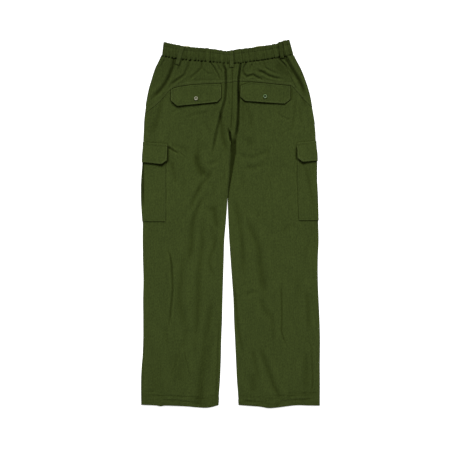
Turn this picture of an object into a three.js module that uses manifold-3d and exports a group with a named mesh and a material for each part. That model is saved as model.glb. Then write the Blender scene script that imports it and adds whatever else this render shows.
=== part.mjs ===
// Cargo trousers with an elastic back waist, laid flat on a surface with the back up.
//
// Units are millimetres. +X points to the wearer's right, +Y from the hems to the waist, +Z up
// from the surface, and the origin is at the middle of the footprint, on the surface.
//
// Each cloth piece is a thin wall. Its outer points lie on a grid of rows (up the garment) and
// columns (across it), its inner points are set back by the cloth's thickness, and a rim closes
// it. The back pieces lie on the front pieces, and both roll to a seam at the sides.

import * as THREE from "three";
import { mergeVertices } from "three/addons/utils/BufferGeometryUtils.js";
import Module from "manifold-3d";

const wasm = await Module();
wasm.setup();

// Cloth and gaps
const CLOTH = 1.2; // twill wall
const BAND_CLOTH = 2.2; // folded and elasticated waistband
const FLAP_CLOTH = 1.4; // two layers, topstitched
const POCKET_CLOTH = 1.2;
const FACING_CLOTH = 0.8; // pale tape inside the front waistband
const LOOP_CLOTH = 1.4;
const SEAM_GAP = 0.3; // between pieces that meet edge to edge
const LAY_GAP = 0.4; // between a piece and what it lies on
const LEAST_GAP = 0.6; // between the back and the front inside a leg

// Heights
const LOFT = 5.6; // back surface over the front's underside where both lie flat
const SEAT_RISE = 7.5; // extra fullness of the seat
const SEAT_CENTRE = { x: 4, y: 330 };
const SEAT_SPREAD = { x: 74, y: 105 };
const WAIST_LIFT = 3.2; // room under the front waist for its loops and button
const FLY_LIFT = 1.8;
const POCKET_LIFT = LAY_GAP + POCKET_CLOTH + 0.1; // room under a leg for the pocket's front half
const FLAP_LIFT = LAY_GAP + FLAP_CLOTH; // and for the flap's front half
const EDGE_ROLL = 6; // how far in from a side the cloth starts to turn down
const EDGE_FADE = 6; // creases die out this far beyond the roll

// Levels up the garment
const HEM_Y = -524.2;
const LEVELS = [-488, -440, -390, -340, -290, -240, -190, -140, -90, -45, -18, 6, 55, 110, 160, 172, 205, 242, 275];
const SEAT_Y = 275; // the last of them
const BACK_SEAT_SHARES = [0.25, 0.5, 0.75, 1]; // rows of the back from there to the yoke seam
const FRONT_SEAT_SHARES = [0.2, 0.45, 0.7, 0.88, 1]; // rows of the front from there to its top edge
const YOKE_LEVELS = [0, 0.33, 0.57, 0.79, 1]; // rows of a yoke, as shares of its height
const CROTCH_Y = 245; // under this the centre seam parts into two inseams
const CROTCH_BLEND = 45;
const POCKET_BOTTOM_Y = 6;
const POCKET_TOP_Y = 205;
const FLAP_BOTTOM_Y = 172;
const FLAP_TOP_Y = 242;

// Garment outline: the outseams and the inner edges of both legs. Over the crotch the two inner
// edges are one centre seam.
const OUTLINE = [
  { y: -534, leftOut: -256, leftIn: -36, rightIn: 26, rightOut: 259.5 },
  { y: -453, leftOut: -256, leftIn: -30, rightIn: 19.5, rightOut: 260 },
  { y: -395, leftOut: -253.5, leftIn: -28.5, rightIn: 16.5, rightOut: 260 },
  { y: -337, leftOut: -253, leftIn: -26.5, rightIn: 14, rightOut: 259.5 },
  { y: -221, leftOut: -253, leftIn: -23, rightIn: 10.5, rightOut: 255.5 },
  { y: -105, leftOut: -253, leftIn: -20, rightIn: 3.5, rightOut: 254.5 },
  { y: -47, leftOut: -253, leftIn: -17.5, rightIn: 0, rightOut: 254.5 },
  { y: 11, leftOut: -253, leftIn: -14.5, rightIn: -2.5, rightOut: 254.5 },
  { y: 69, leftOut: -253, leftIn: -9.5, rightIn: -6.5, rightOut: 254 },
  { y: 98, leftOut: -253, leftIn: -7.1, rightIn: -6.1, rightOut: 253.5 },
  { y: 127, leftOut: -253, leftIn: -4.6, rightIn: -3.7, rightOut: 252.5 },
  { y: 185, leftOut: -253, leftIn: -0.7, rightIn: 0.2, rightOut: 252 },
  { y: 214, leftOut: -252, leftIn: 0.8, rightIn: 1.6, rightOut: 250 },
  { y: 243, leftOut: -250.5, leftIn: 1.4, rightIn: 2, rightOut: 248 },
  { y: 272, leftOut: -249.5, leftIn: 1.9, rightIn: 2.2, rightOut: 245.8 },
  { y: 330, leftOut: -246, leftIn: 4.5, rightIn: 4.8, rightOut: 239 },
  { y: 359, leftOut: -241.4, leftIn: 5.3, rightIn: 5.6, rightOut: 233.5 },
  { y: 388, leftOut: -235.6, leftIn: 6, rightIn: 6.3, rightOut: 225.5 },
  { y: 417, leftOut: -226.9, leftIn: 6, rightIn: 6.3, rightOut: 216.8 },
  { y: 446, leftOut: -218.2, leftIn: 5.6, rightIn: 5.9, rightOut: 206 },
  { y: 475, leftOut: -204.5, leftIn: 5, rightIn: 5.3, rightOut: 190.7 },
  { y: 495, leftOut: -196, leftIn: 5, rightIn: 5.3, rightOut: 182 },
];

// Hems sag a little between the seams.
const HEM = [
  { x: -258, y: -524.2 }, { x: -206, y: -525.7 }, { x: -122, y: -528.6 }, { x: -78, y: -532.9 },
  { x: -50, y: -531 }, { x: -35, y: -524.5 }, { x: 24, y: -523 }, { x: 43, y: -527.1 },
  { x: 80, y: -530 }, { x: 115, y: -532.9 }, { x: 156, y: -530 }, { x: 190, y: -526.5 },
  { x: 228, y: -526 }, { x: 262, y: -525 },
];

// The waistband's lower seam and top edge, seen from above: a shallow V.
const WAIST = [
  { x: -200, seam: 486.5, top: 527.4 },
  { x: -169, seam: 480.7, top: 521.3 },
  { x: -143, seam: 476.9, top: 515.5 },
  { x: -105, seam: 473, top: 509.9 },
  { x: -69, seam: 470.2, top: 507.5 },
  { x: -39, seam: 467.6, top: 503.9 },
  { x: -11.5, seam: 465, top: 499.2 },
  { x: 5, seam: 464.5, top: 500.5 },
  { x: 23.6, seam: 465.2, top: 504 },
  { x: 61, seam: 470.2, top: 509 },
  { x: 98, seam: 475, top: 515.5 },
  { x: 135, seam: 481.3, top: 522 },
  { x: 152, seam: 484, top: 528.5 },
  { x: 170, seam: 487.5, top: 532.7 },
  { x: 186, seam: 490.5, top: 532.9 },
];
const BAND_SEAM_ENDS = { left: -198, right: 183.4 };
const BAND_TOP_ENDS = { left: -193.6, right: 171.8 };

// Yoke seams, from the outseam up the slant and along to the centre back.
const YOKE = {
  left: [
    { x: -247, y: 319 }, { x: -205, y: 353 }, { x: -177, y: 382 }, { x: -163, y: 393.7 },
    { x: -131, y: 402.4 }, { x: -73, y: 409.6 }, { x: -22.5, y: 411.4 }, { x: 6, y: 413 },
  ],
  right: [
    { x: 240, y: 334 }, { x: 215.6, y: 355.4 }, { x: 187, y: 389 }, { x: 174, y: 405.3 },
    { x: 147, y: 409 }, { x: 110, y: 413.2 }, { x: 42, y: 414.5 }, { x: 6, y: 413 },
  ],
};
const YOKE_END_Y = { left: 319, right: 334 };
const YOKE_CENTRE_Y = 413;

// Creases of the back: soft troughs along a path, with depth and width at its start and end.
const CREASES = [
  { name: "seat_left", path: [[-13.5, 459], [-13.5, 406], [-19, 344], [-33.5, 301], [-44, 257], [-50, 215]], depth: [8.5, 3], width: [5, 10] },
  { name: "seat_right", path: [[28, 461], [24, 428], [21.6, 395], [22.5, 330], [16.7, 272], [9.4, 237], [6.5, 190], [2, 150]], depth: [9, 3.5], width: [4.5, 8] },
  { name: "hip_left", path: [[-166, 478], [-169, 450], [-189, 414], [-211, 385], [-226, 362]], depth: [4.5, 2], width: [7, 9] },
  { name: "hip_right", path: [[166, 482], [190.7, 434], [208, 405], [220, 375]], depth: [4.5, 2], width: [7, 9] },
  { name: "yoke_left_inner", path: [[-58.7, 466], [-37, 443], [-24, 417]], depth: [2.5, 2], width: [4, 5] },
  { name: "yoke_left_middle", path: [[-93.5, 443], [-116.7, 428.5], [-151.5, 420]], depth: [1.5, 1.2], width: [6, 6] },
  { name: "yoke_right_wave", path: [[35.5, 428.5], [51.5, 431], [68, 435], [86, 428]], depth: [2.4, 2.4], width: [5, 5] },
  { name: "yoke_right_outer", path: [[82.5, 446], [108, 431], [144, 420.7]], depth: [2.8, 2.2], width: [5, 6] },
  { name: "crotch_left", path: [[-19, 262], [-18, 210]], depth: [2, 1.5], width: [7, 8] },
  { name: "thigh_left", path: [[-55.8, 145], [-77, 112], [-105, 69], [-114, 11], [-117, -50]], depth: [2.6, 1.6], width: [10, 12] },
  { name: "thigh_left_patch", path: [[-97, 172], [-80, 144]], depth: [2.2, 2.2], width: [11, 11] },
  { name: "flap_drag_left", path: [[-176, 214], [-157, 205], [-131, 190]], depth: [1.5, 0.8], width: [5, 7] },
  { name: "shin_left_crease", path: [[-180.5, -76], [-170.4, -120], [-167.5, -192], [-171.8, -250], [-177.6, -305]], depth: [2.2, 1.6], width: [7, 7] },
  { name: "shin_left_middle", path: [[-93.5, -105], [-91.5, -192], [-93.5, -262]], depth: [1.7, 1.4], width: [10, 10] },
  { name: "shin_left_low", path: [[-67.4, -320], [-79, -409.6], [-87.7, -500]], depth: [1.6, 2.2], width: [13, 14] },
  { name: "shin_left_outer", path: [[-142.8, -230], [-124, -300], [-117, -430]], depth: [1, 1.2], width: [9, 8] },
  { name: "knee_right", path: [[21, 54], [37, 11], [63, -41], [84.8, -90.6], [95, -148.6], [103.7, -203.7], [118, -267.5]], depth: [2.2, 2.2], width: [8, 9] },
  { name: "thigh_right", path: [[54.4, 167.5], [115.3, 213.9]], depth: [1.6, 1.4], width: [14, 14] },
  { name: "shin_right_crease", path: [[149.8, -205], [149.8, -311], [163, -356]], depth: [2, 1.6], width: [6, 7] },
  { name: "shin_right_low", path: [[93.5, -366], [108, -402], [126, -460.4], [137, -495]], depth: [1.8, 2], width: [8, 8] },
  { name: "shin_right_inner", path: [[68.9, -375], [68, -438.6], [63, -492]], depth: [1.5, 1.7], width: [11, 11] },
  { name: "shin_right_outer", path: [[231, -279], [232.7, -366], [235.6, -476]], depth: [1.4, 1.4], width: [9, 9] },
];

// Gathers of the elastic: crests across the whole back waist.
const GATHERS = 40;
const BAND_GATHER_HEIGHT = 0.9;
const YOKE_GATHER_HEIGHT = 0.8;
const YOKE_GATHER_REACH = 34; // how far below the waist seam the gathers die out
const BAND_STEPS = 3; // grid steps for one gather of the band

// Cargo pockets wrap the outseam. Widths are measured in from the side.
const POCKETS = {
  left: { backWidth: 66, frontWidth: 114, bulge: 4.6 },
  right: { backWidth: 58, frontWidth: 120, bulge: 0 },
};
const CARGO_FLAP_EXTRA = 5; // the flap is this much wider than the pocket on each edge
const CARGO_FLAP_CORNER = 15; // slanted corner
const CARGO_FLAP_STAND = 3.5; // its lower edge stands off the pocket

// Back pocket flaps: the top edge's ends, the drop and the slanted corners
const BACK_FLAPS = {
  left: { topOut: [-172.5, 390], topMid: [-105, 404], topIn: [-26, 404], bottomOut: [-172.5, 340.5], bottomIn: [-25.5, 352], corner: 17 },
  right: { topOut: [177, 399], topMid: [100, 407.5], topIn: [28, 403], bottomOut: [177, 348], bottomIn: [29, 355.5], corner: 15 },
};
const BACK_FLAP_STAND = 3;
const BACK_BUTTONS = { left: [-99.3, 363], right: [101, 369] };
const BACK_WELTS = { left: [-160, -40, 385], right: [42, 164, 388] }; // from x, to x, y
const WELT_HEIGHT = 10;

const BUTTON = { radius: 7.4, thickness: 2.6, rim: 1.5, dish: 0.8, hole: 0.9, pitch: 1.5 };
const WAIST_BUTTON_AT = [-6, 482];

// Belt loops: the top and bottom of each strip, seen from above
const LOOP_WIDTH = 12;
const BACK_LOOPS = [
  { name: "belt_loop_back_left", top: [-143, 514], bottom: [-153, 459] },
  { name: "belt_loop_back_centre", top: [5, 500], bottom: [5, 453] },
  { name: "belt_loop_back_right", top: [148, 525], bottom: [156, 468] },
];
const FRONT_LOOPS = [
  { name: "belt_loop_front_left", top: [-98, 507], bottom: [-100, 455] },
  { name: "belt_loop_front_right", top: [96, 512], bottom: [98, 457] },
];

// Front: pocket mouths slant from the waist to the outseam
const MOUTH_SHARE = 0.4; // of the way from the outseam to the centre, at the waist seam
const FLY = { outer: -38, inner: 2.5, bottomY: 318, curveY: 355 };

const OLIVE = { color: 0x3a4720, roughness: 0.92, metalness: 0 };
const OLIVE_DARK = { color: 0x36421e, roughness: 0.92, metalness: 0 };
const CREAM = { color: 0xd8d6a8, roughness: 0.85, metalness: 0 };
const HORN = { color: 0x8f9079, roughness: 0.35, metalness: 0 };

const lerp = (a, b, t) => a + (b - a) * t;
const clamp01 = (t) => Math.min(1, Math.max(0, t));
const smooth = (t) => clamp01(t) ** 2 * (3 - 2 * clamp01(t));
const sideSign = (side) => (side === "left" ? -1 : 1);

// A smooth curve through a table's rows: cubic pieces whose slopes come from the rows on each side.
function follow(rows, along, column, at) {
  const last = rows.length - 1;
  let i = rows.findIndex((row) => row[along] > at) - 1;
  if (i < 0) i = at <= rows[0][along] ? 0 : last - 1;
  const slope = (k) => {
    const a = rows[Math.max(0, k - 1)];
    const b = rows[Math.min(last, k + 1)];
    return (b[column] - a[column]) / (b[along] - a[along]);
  };
  const step = rows[i + 1][along] - rows[i][along];
  const t = (at - rows[i][along]) / step;
  const t2 = t * t;
  const t3 = t2 * t;
  return (
    (2 * t3 - 3 * t2 + 1) * rows[i][column] +
    (t3 - 2 * t2 + t) * step * slope(i) +
    (3 * t2 - 2 * t3) * rows[i + 1][column] +
    (t3 - t2) * step * slope(i + 1)
  );
}

// The same table read as straight stretches, for seams with a corner
function straight(rows, along, column, at) {
  const ordered = rows[0][along] < rows[rows.length - 1][along] ? rows : [...rows].reverse();
  for (let i = 0; i < ordered.length - 1; i++) {
    const a = ordered[i];
    const b = ordered[i + 1];
    if (at <= b[along] || i === ordered.length - 2) {
      return lerp(a[column], b[column], clamp01((at - a[along]) / (b[along] - a[along])));
    }
  }
}

const outerX = (side, y) => follow(OUTLINE, "y", side + "Out", y);
const innerX = (side, y) => follow(OUTLINE, "y", side + "In", y);
const hemY = (x) => follow(HEM, "x", "y", x);
const waistSeamY = (x) => follow(WAIST, "x", "seam", x);
const waistTopY = (x) => follow(WAIST, "x", "top", x);

// How far into a crease a point is, from 0 to its depth: a bell across the nearest stretch of the
// path, fading out at both ends.
function creaseDepth({ path, depth, width }, x, y) {
  const lengths = path.slice(1).map((p, i) => Math.hypot(p[0] - path[i][0], p[1] - path[i][1]));
  const total = lengths.reduce((sum, l) => sum + l, 0);
  let best = Infinity;
  let along = 0;
  let passed = 0;
  lengths.forEach((length, i) => {
    const [ax, ay] = path[i];
    const dx = (path[i + 1][0] - ax) / length;
    const dy = (path[i + 1][1] - ay) / length;
    const s = Math.min(length, Math.max(0, (x - ax) * dx + (y - ay) * dy));
    const distance = Math.hypot(x - ax - s * dx, y - ay - s * dy);
    if (distance < best) {
      best = distance;
      along = (passed + s) / total;
    }
    passed += length;
  });
  const w = lerp(width[0], width[1], along);
  const fade = smooth(along * 6) * smooth((1 - along) * 6) * 0.75 + 0.25;
  return lerp(depth[0], depth[1], along) * fade * Math.exp(-((best / w) ** 2));
}

// Room that the pieces under the front need. Its ramps are straight and end on the front's own
// rows and columns, so that it is level wherever a piece lies.
function cargoLift(x, y) {
  const side = x < 0 ? "left" : "right";
  const share = (x - outerX(side, y)) / (innerX(side, y) - outerX(side, y));
  const pocket = POCKET_LIFT * clamp01((y + 18) / 24);
  const flap = FLAP_LIFT * clamp01((y - 160) / 12);
  return (pocket + flap) * clamp01((SEAT_Y - y) / (SEAT_Y - FLAP_TOP_Y)) * clamp01((0.7 - share) / 0.1);
}
function underside(x, y) {
  const up = (y - SEAT_Y) / (waistSeamY(x) - SEAT_Y);
  const waist = clamp01((up - 0.7) / 0.18);
  const fly = FLY_LIFT * clamp01(up / 0.2) * clamp01((76 - Math.abs(x - 5)) / 24);
  return cargoLift(x, y) + lerp(fly, WAIST_LIFT, waist);
}

// 0 over the crotch, where the inner edges are one centre seam, and 1 where they are inseams
const partedShare = (y) => smooth((CROTCH_Y - y) / CROTCH_BLEND);

// The back's outer surface, without the roll at the sides
function backHeight(x, y) {
  const floor = underside(x, y);
  const seat =
    SEAT_RISE *
    Math.exp(-(((x - SEAT_CENTRE.x) / SEAT_SPREAD.x) ** 2) - ((y - SEAT_CENTRE.y) / SEAT_SPREAD.y) ** 2);
  const side = x < 0 ? "left" : "right";
  const fromPocket = Math.abs(x - outerX(side, y)) - POCKETS[side].backWidth - CARGO_FLAP_EXTRA;
  const beside = smooth(fromPocket / 8);
  const beyond = smooth(Math.max(POCKET_BOTTOM_Y - 6 - y, y - FLAP_TOP_Y - 4) / 14);
  const clear = Math.max(beside, beyond);
  const fromSeams = smooth((Math.abs(x - outerX(side, y)) - EDGE_FADE) / EDGE_FADE);
  const fromInseam = smooth((Math.abs(x - innerX(side, y)) - EDGE_FADE) / EDGE_FADE);
  const atEdges = fromSeams * lerp(1, fromInseam, partedShare(y));
  const creases = CREASES.reduce((sum, crease) => sum + creaseDepth(crease, x, y), 0);
  const height = floor + LOFT + seat - clear * atEdges * creases;
  return Math.max(height, floor + 2 * CLOTH + LEAST_GAP);
}

// Quarter roll at an edge: how much of its full rise the cloth has at a distance from the edge
function roll(distance) {
  const t = clamp01(distance / EDGE_ROLL);
  return Math.sqrt(1 - (1 - t) ** 2);
}
const ROLL_STOPS = [0, 0.9, 3, EDGE_ROLL]; // distances in from an edge that get a column

// Heights of the outseam and of the inseam
const outseamZ = (side, y) => underside(outerX(side, y) - sideSign(side) * EDGE_ROLL, y) + LOFT / 2;
const inseamZ = (side, y) => underside(innerX(side, y) + sideSign(side) * EDGE_ROLL, y) + LOFT / 2;

// A leg surface from the plain height: it rolls to the seam at the outseam, and at the inseam
// under the crotch. The lay is half the seam gap, up for a back piece and down for a front piece.
function rolled(side, x, y, fullHeight, lay) {
  const out = 1 - roll(Math.abs(x - outerX(side, y)));
  const inn = (1 - roll(Math.abs(x - innerX(side, y)))) * partedShare(y);
  const drop = (seam, share) => (fullHeight - seam - lay) * share;
  return fullHeight - drop(outseamZ(side, y), out) - drop(inseamZ(side, y), inn);
}

// Height that parts a back panel from the front panel near the ends of a row: the seam's own
// height at a rolled edge, and just over the front's wall at the centre seam
function partingOf(side) {
  const near = ROLL_STOPS.length;
  return (x, y, j, last) => {
    if (j < near) return outseamZ(side, y);
    if (j <= last - near) return undefined;
    const overFront = underside(x, y) + CLOTH + LEAST_GAP / 2;
    return lerp(overFront, inseamZ(side, y), partedShare(y));
  };
}

// Closed wall from a grid of outer points and the matching grid of inner points. Both are arrays
// of rows, and outward says on which side of (column step) x (row step) the outer face looks.
function wall(outer, inner, outward) {
  const rows = outer.length;
  const columns = outer[0].length;
  const positions = [];
  [outer, inner].forEach((grid) => grid.forEach((row) => row.forEach((p) => positions.push(...p))));
  const at = (layer, i, j) => (layer * rows + i) * columns + j;
  const faces = [];
  const quad = (a, b, c, d) => {
    const corners = outward > 0 ? [a, b, c, a, c, d] : [a, c, b, a, d, c];
    faces.push(...corners);
  };
  for (let i = 0; i < rows - 1; i++) {
    for (let j = 0; j < columns - 1; j++) {
      quad(at(0, i, j), at(0, i, j + 1), at(0, i + 1, j + 1), at(0, i + 1, j));
      quad(at(1, i, j), at(1, i + 1, j), at(1, i + 1, j + 1), at(1, i, j + 1));
    }
  }
  for (let j = 0; j < columns - 1; j++) {
    quad(at(1, 0, j), at(1, 0, j + 1), at(0, 0, j + 1), at(0, 0, j));
    quad(at(0, rows - 1, j), at(0, rows - 1, j + 1), at(1, rows - 1, j + 1), at(1, rows - 1, j));
  }
  for (let i = 0; i < rows - 1; i++) {
    quad(at(0, i, 0), at(0, i + 1, 0), at(1, i + 1, 0), at(1, i, 0));
    quad(at(0, i, columns - 1), at(1, i, columns - 1), at(1, i + 1, columns - 1), at(0, i + 1, columns - 1));
  }
  const geometry = new THREE.BufferGeometry();
  geometry.setAttribute("position", new THREE.Float32BufferAttribute(positions, 3));
  geometry.setIndex(faces);
  return geometry;
}

// Inner points: set back by the thickness, square to the cloth's cross-section. At the first and
// last column they stay within the piece's own edge, and near the edges on their own side of the
// height that parts the piece from the one under or over it.
function setBack(outer, thickness, outward, parting) {
  return outer.map((row, i) =>
    row.map(([x, y, z], j) => {
      const last = row.length - 1;
      const a = row[Math.max(0, j - 1)];
      const b = row[Math.min(last, j + 1)];
      const dx = b[0] - a[0];
      const dz = b[2] - a[2];
      const length = Math.hypot(dx, dz);
      let inX = x + (outward * thickness * dz) / length;
      let inZ = z - (outward * thickness * dx) / length;
      if (j === 0 || j === last) {
        const inward = Math.sign(dx) * (j === 0 ? 1 : -1);
        if ((inX - x) * inward < 0) inX = x;
      }
      const level = parting ? parting(x, y, j, last) : undefined;
      if (level !== undefined) {
        inZ = inZ < z ? Math.max(inZ, level + SEAM_GAP / 2) : Math.min(inZ, level - SEAM_GAP / 2);
      }
      return [inX, y, inZ];
    }),
  );
}
const clothWall = (outer, thickness, outward, parting) =>
  wall(outer, setBack(outer, thickness, outward, parting), outward);

// Shares of the way across a panel that get a column: the roll's own stops at each side, and even
// steps between.
function columnShares(steps, width) {
  const stops = ROLL_STOPS.map((d) => d / width);
  const even = Array.from({ length: steps - 1 }, (_, i) => (i + 1) / steps);
  return [...stops, ...even.filter((t) => t > 0.04 && t < 0.96), ...stops.map((t) => 1 - t).reverse()];
}
const LEG_WIDTH = 245;
const BACK_COLUMNS = columnShares(20, LEG_WIDTH);
const FRONT_COLUMNS = columnShares(10, LEG_WIDTH);
const YOKE_COLUMNS = columnShares(40, LEG_WIDTH);

// One row of a leg: its points run straight between the outseam and the inner edge, and each has
// its own height up the garment.
function legRow(side, shares, outY, inY, yAt) {
  const out = outerX(side, outY);
  const inn = innerX(side, inY);
  return shares.map((t) => {
    const x = lerp(out, inn, t);
    return [x, yAt(t, x)];
  });
}

function legRows(side, shares, seatShares, topRow) {
  const rows = [legRow(side, shares, HEM_Y, HEM_Y, (t, x) => hemY(x))];
  LEVELS.forEach((level) => rows.push(legRow(side, shares, level, level, () => level)));
  seatShares.forEach((s) => {
    const outY = lerp(SEAT_Y, topRow.outY, s);
    const inY = lerp(SEAT_Y, topRow.inY, s);
    rows.push(legRow(side, shares, outY, inY, (t) => lerp(SEAT_Y, topRow.yAt(t), s)));
  });
  return rows;
}

// The yoke seam's height up the garment at a share of the way across
function yokeSeamY(side, t) {
  const x = lerp(outerX(side, YOKE_END_Y[side]), innerX(side, YOKE_CENTRE_Y), t);
  return straight(YOKE[side], "x", "y", x);
}
// The same, read along the back panel's own straight stretches, so that both pieces meet
function yokeSeamOnPanel(side, t) {
  const j = Math.max(1, BACK_COLUMNS.findIndex((share) => share >= t - 1e-9));
  const a = BACK_COLUMNS[j - 1];
  const b = BACK_COLUMNS[j];
  return lerp(yokeSeamY(side, a), yokeSeamY(side, b), (t - a) / (b - a));
}
const waistEndY = (side) => waistSeamY(side === "left" ? BAND_SEAM_ENDS.left : BAND_SEAM_ENDS.right);
const waistMiddleY = () => waistSeamY(5);

const outwardOf = (side) => (side === "left" ? 1 : -1);

function backLeg(side) {
  const top = {
    outY: YOKE_END_Y[side] - SEAM_GAP,
    inY: YOKE_CENTRE_Y - SEAM_GAP,
    yAt: (t) => yokeSeamY(side, t) - SEAM_GAP,
  };
  const outer = legRows(side, BACK_COLUMNS, BACK_SEAT_SHARES, top).map((row) =>
    row.map(([x, y]) => {
      return [x, y, rolled(side, x, y, backHeight(x, y), SEAM_GAP / 2)];
    }),
  );
  return clothWall(outer, CLOTH, outwardOf(side), partingOf(side));
}

// Front pocket mouth: a straight slant from the outseam, where the yoke ends, to the waist seam
function mouthEnds(side) {
  const out = outerX(side, YOKE_END_Y[side]);
  const inn = innerX(side, waistMiddleY());
  const low = [lerp(out, inn, EDGE_ROLL / LEG_WIDTH), YOKE_END_Y[side]];
  const x = lerp(out, inn, MOUTH_SHARE);
  return { low, high: [x, waistSeamY(x) - SEAM_GAP] };
}

function frontTopY(side, t) {
  const { low, high } = mouthEnds(side);
  const x = lerp(outerX(side, YOKE_END_Y[side]), innerX(side, waistMiddleY()), t);
  const along = (x - low[0]) / (high[0] - low[0]);
  return along < 1 ? lerp(low[1], high[1], clamp01(along)) - SEAM_GAP : waistSeamY(x) - SEAM_GAP;
}

function frontLeg(side) {
  const top = {
    outY: YOKE_END_Y[side] - SEAM_GAP,
    inY: waistMiddleY() - SEAM_GAP,
    yAt: (t) => frontTopY(side, t),
  };
  const outer = legRows(side, FRONT_COLUMNS, FRONT_SEAT_SHARES, top).map((row) =>
    row.map(([x, y]) => {
      return [x, y, rolled(side, x, y, underside(x, y), -SEAM_GAP / 2)];
    }),
  );
  return clothWall(outer, CLOTH, -outwardOf(side), partingOf(side));
}

// Pocket facing: the hip corner that shows inside the slanted mouth, from the outseam to the slant
function pocketFacing(side) {
  const { low, high } = mouthEnds(side);
  const reach = 0.5; // stands this far off the slant
  const outer = YOKE_LEVELS.map((s) => {
    const outY = lerp(YOKE_END_Y[side] + SEAM_GAP, waistEndY(side) - SEAM_GAP, s);
    const out = outerX(side, outY);
    const edgeX = lerp(low[0], high[0], s) + sideSign(side) * reach;
    const edgeY = lerp(low[1] + SEAM_GAP, high[1], s);
    const width = Math.abs(edgeX - out);
    const squeeze = Math.min(1, (width - 1.5) / EDGE_ROLL);
    const near = ROLL_STOPS.map((d) => d * squeeze);
    const beyond = [0.2, 0.6, 1].map((share) => lerp(EDGE_ROLL * squeeze, width, share));
    return [...near, ...beyond].map((d) => {
      const x = lerp(out, edgeX, d / width);
      const y = lerp(outY, edgeY, d / width);
      return [x, y, rolled(side, x, y, underside(x, y), -SEAM_GAP / 2)];
    });
  });
  const parting = (x, y, j) => (j < ROLL_STOPS.length ? outseamZ(side, y) : undefined);
  return clothWall(outer, CLOTH, -outwardOf(side), parting);
}

// Yoke with the gathers that run down from the waist
function yoke(side) {
  const outer = YOKE_LEVELS.map((s) => {
    const outY = lerp(YOKE_END_Y[side] + SEAM_GAP, waistEndY(side) - SEAM_GAP, s);
    const inY = lerp(YOKE_CENTRE_Y + SEAM_GAP, waistMiddleY() - SEAM_GAP, s);
    const out = outerX(side, outY);
    const inn = innerX(side, inY);
    return YOKE_COLUMNS.map((t) => {
      const x = lerp(out, inn, t);
      const y = lerp(yokeSeamOnPanel(side, t) + SEAM_GAP, waistSeamY(x) - SEAM_GAP, s);
      const fade = smooth(1 - (waistSeamY(x) - y) / YOKE_GATHER_REACH);
      const gather = YOKE_GATHER_HEIGHT * Math.cos(Math.PI * GATHERS * t) * fade;
      return [x, y, rolled(side, x, y, backHeight(x, y) + gather, SEAM_GAP / 2)];
    });
  });
  return clothWall(outer, CLOTH, outwardOf(side), partingOf(side));
}

// Waistband. Its ends roll down at the sides like the legs.
const BAND_FLOOR = WAIST_LIFT;
const FRONT_BAND_TOP = BAND_FLOOR + BAND_CLOTH;
const BACK_BAND_UNDER = FRONT_BAND_TOP + LAY_GAP + FACING_CLOTH + LAY_GAP;
const BACK_BAND_TOP = BACK_BAND_UNDER + BAND_CLOTH + 0.3;
const BAND_SEAM_Z = FRONT_BAND_TOP + 0.2;

function bandGrid(shares, rise, heightAt, sideHeight) {
  return [0, 0.5, 1].map((v) =>
    shares.map((t) => {
      const low = lerp(BAND_SEAM_ENDS.left, BAND_SEAM_ENDS.right, t);
      const high = lerp(BAND_TOP_ENDS.left, BAND_TOP_ENDS.right, t);
      const x = lerp(low, high, v);
      const y = lerp(waistSeamY(low) + SEAM_GAP, waistTopY(high) + rise(high), v);
      const left = lerp(BAND_SEAM_ENDS.left, BAND_TOP_ENDS.left, v);
      const right = lerp(BAND_SEAM_ENDS.right, BAND_TOP_ENDS.right, v);
      const rolledShare = Math.min(roll(x - left), roll(right - x));
      return [x, y, sideHeight + (heightAt(x, t, v) - sideHeight) * rolledShare];
    }),
  );
}
function bandShares(steps) {
  const width = BAND_SEAM_ENDS.right - BAND_SEAM_ENDS.left;
  const stops = ROLL_STOPS.map((d) => d / width);
  const even = Array.from({ length: steps - 1 }, (_, i) => (i + 1) / steps);
  return [...stops, ...even.filter((t) => t > 0.018 && t < 0.982), ...stops.map((t) => 1 - t).reverse()];
}

function backBand() {
  const gather = (t, v) => BAND_GATHER_HEIGHT * Math.cos(2 * Math.PI * GATHERS * t) * lerp(1, 0.8, v);
  const height = (x, t, v) => BACK_BAND_TOP + BAND_GATHER_HEIGHT + gather(t, v) - 0.6 * v;
  const outer = bandGrid(bandShares(GATHERS * BAND_STEPS), () => 0, height, BAND_SEAM_Z + SEAM_GAP / 2);
  // a plain inside: the outer face without its gathers
  const plain = bandGrid(
    bandShares(GATHERS * BAND_STEPS), () => 0,
    (x, t, v) => BACK_BAND_TOP - 0.6 * v, BAND_SEAM_Z + SEAM_GAP / 2,
  );
  return wall(outer, setBack(plain, BAND_CLOTH, 1, () => BAND_SEAM_Z), 1);
}

// The front band shows over the back band in two short places.
const FRONT_BAND_RISE = (x) =>
  -2.2 + 4.2 * Math.exp(-(((x + 124) / 17) ** 2)) + 4.2 * Math.exp(-(((x - 84) / 20) ** 2));

function frontBand() {
  const outer = bandGrid(bandShares(16), FRONT_BAND_RISE, () => BAND_FLOOR, BAND_SEAM_Z - SEAM_GAP / 2);
  return clothWall(outer, BAND_CLOTH - 0.4, -1, () => BAND_SEAM_Z);
}

// Pale tape inside the front band, along its top edge
function waistFacing() {
  const tapeWidth = 16;
  const inset = 14; // clear of the rolled ends
  const from = BAND_TOP_ENDS.left + inset;
  const to = BAND_TOP_ENDS.right - inset;
  const steps = 24;
  const grid = (z) =>
    [-tapeWidth, 0].map((drop) =>
      Array.from({ length: steps + 1 }, (_, i) => {
        const x = lerp(from, to, i / steps);
        return [x, waistTopY(x) + FRONT_BAND_RISE(x) + drop - 0.2, z];
      }),
    );
  return wall(grid(FRONT_BAND_TOP + LAY_GAP + FACING_CLOTH), grid(FRONT_BAND_TOP + LAY_GAP), 1);
}

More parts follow.
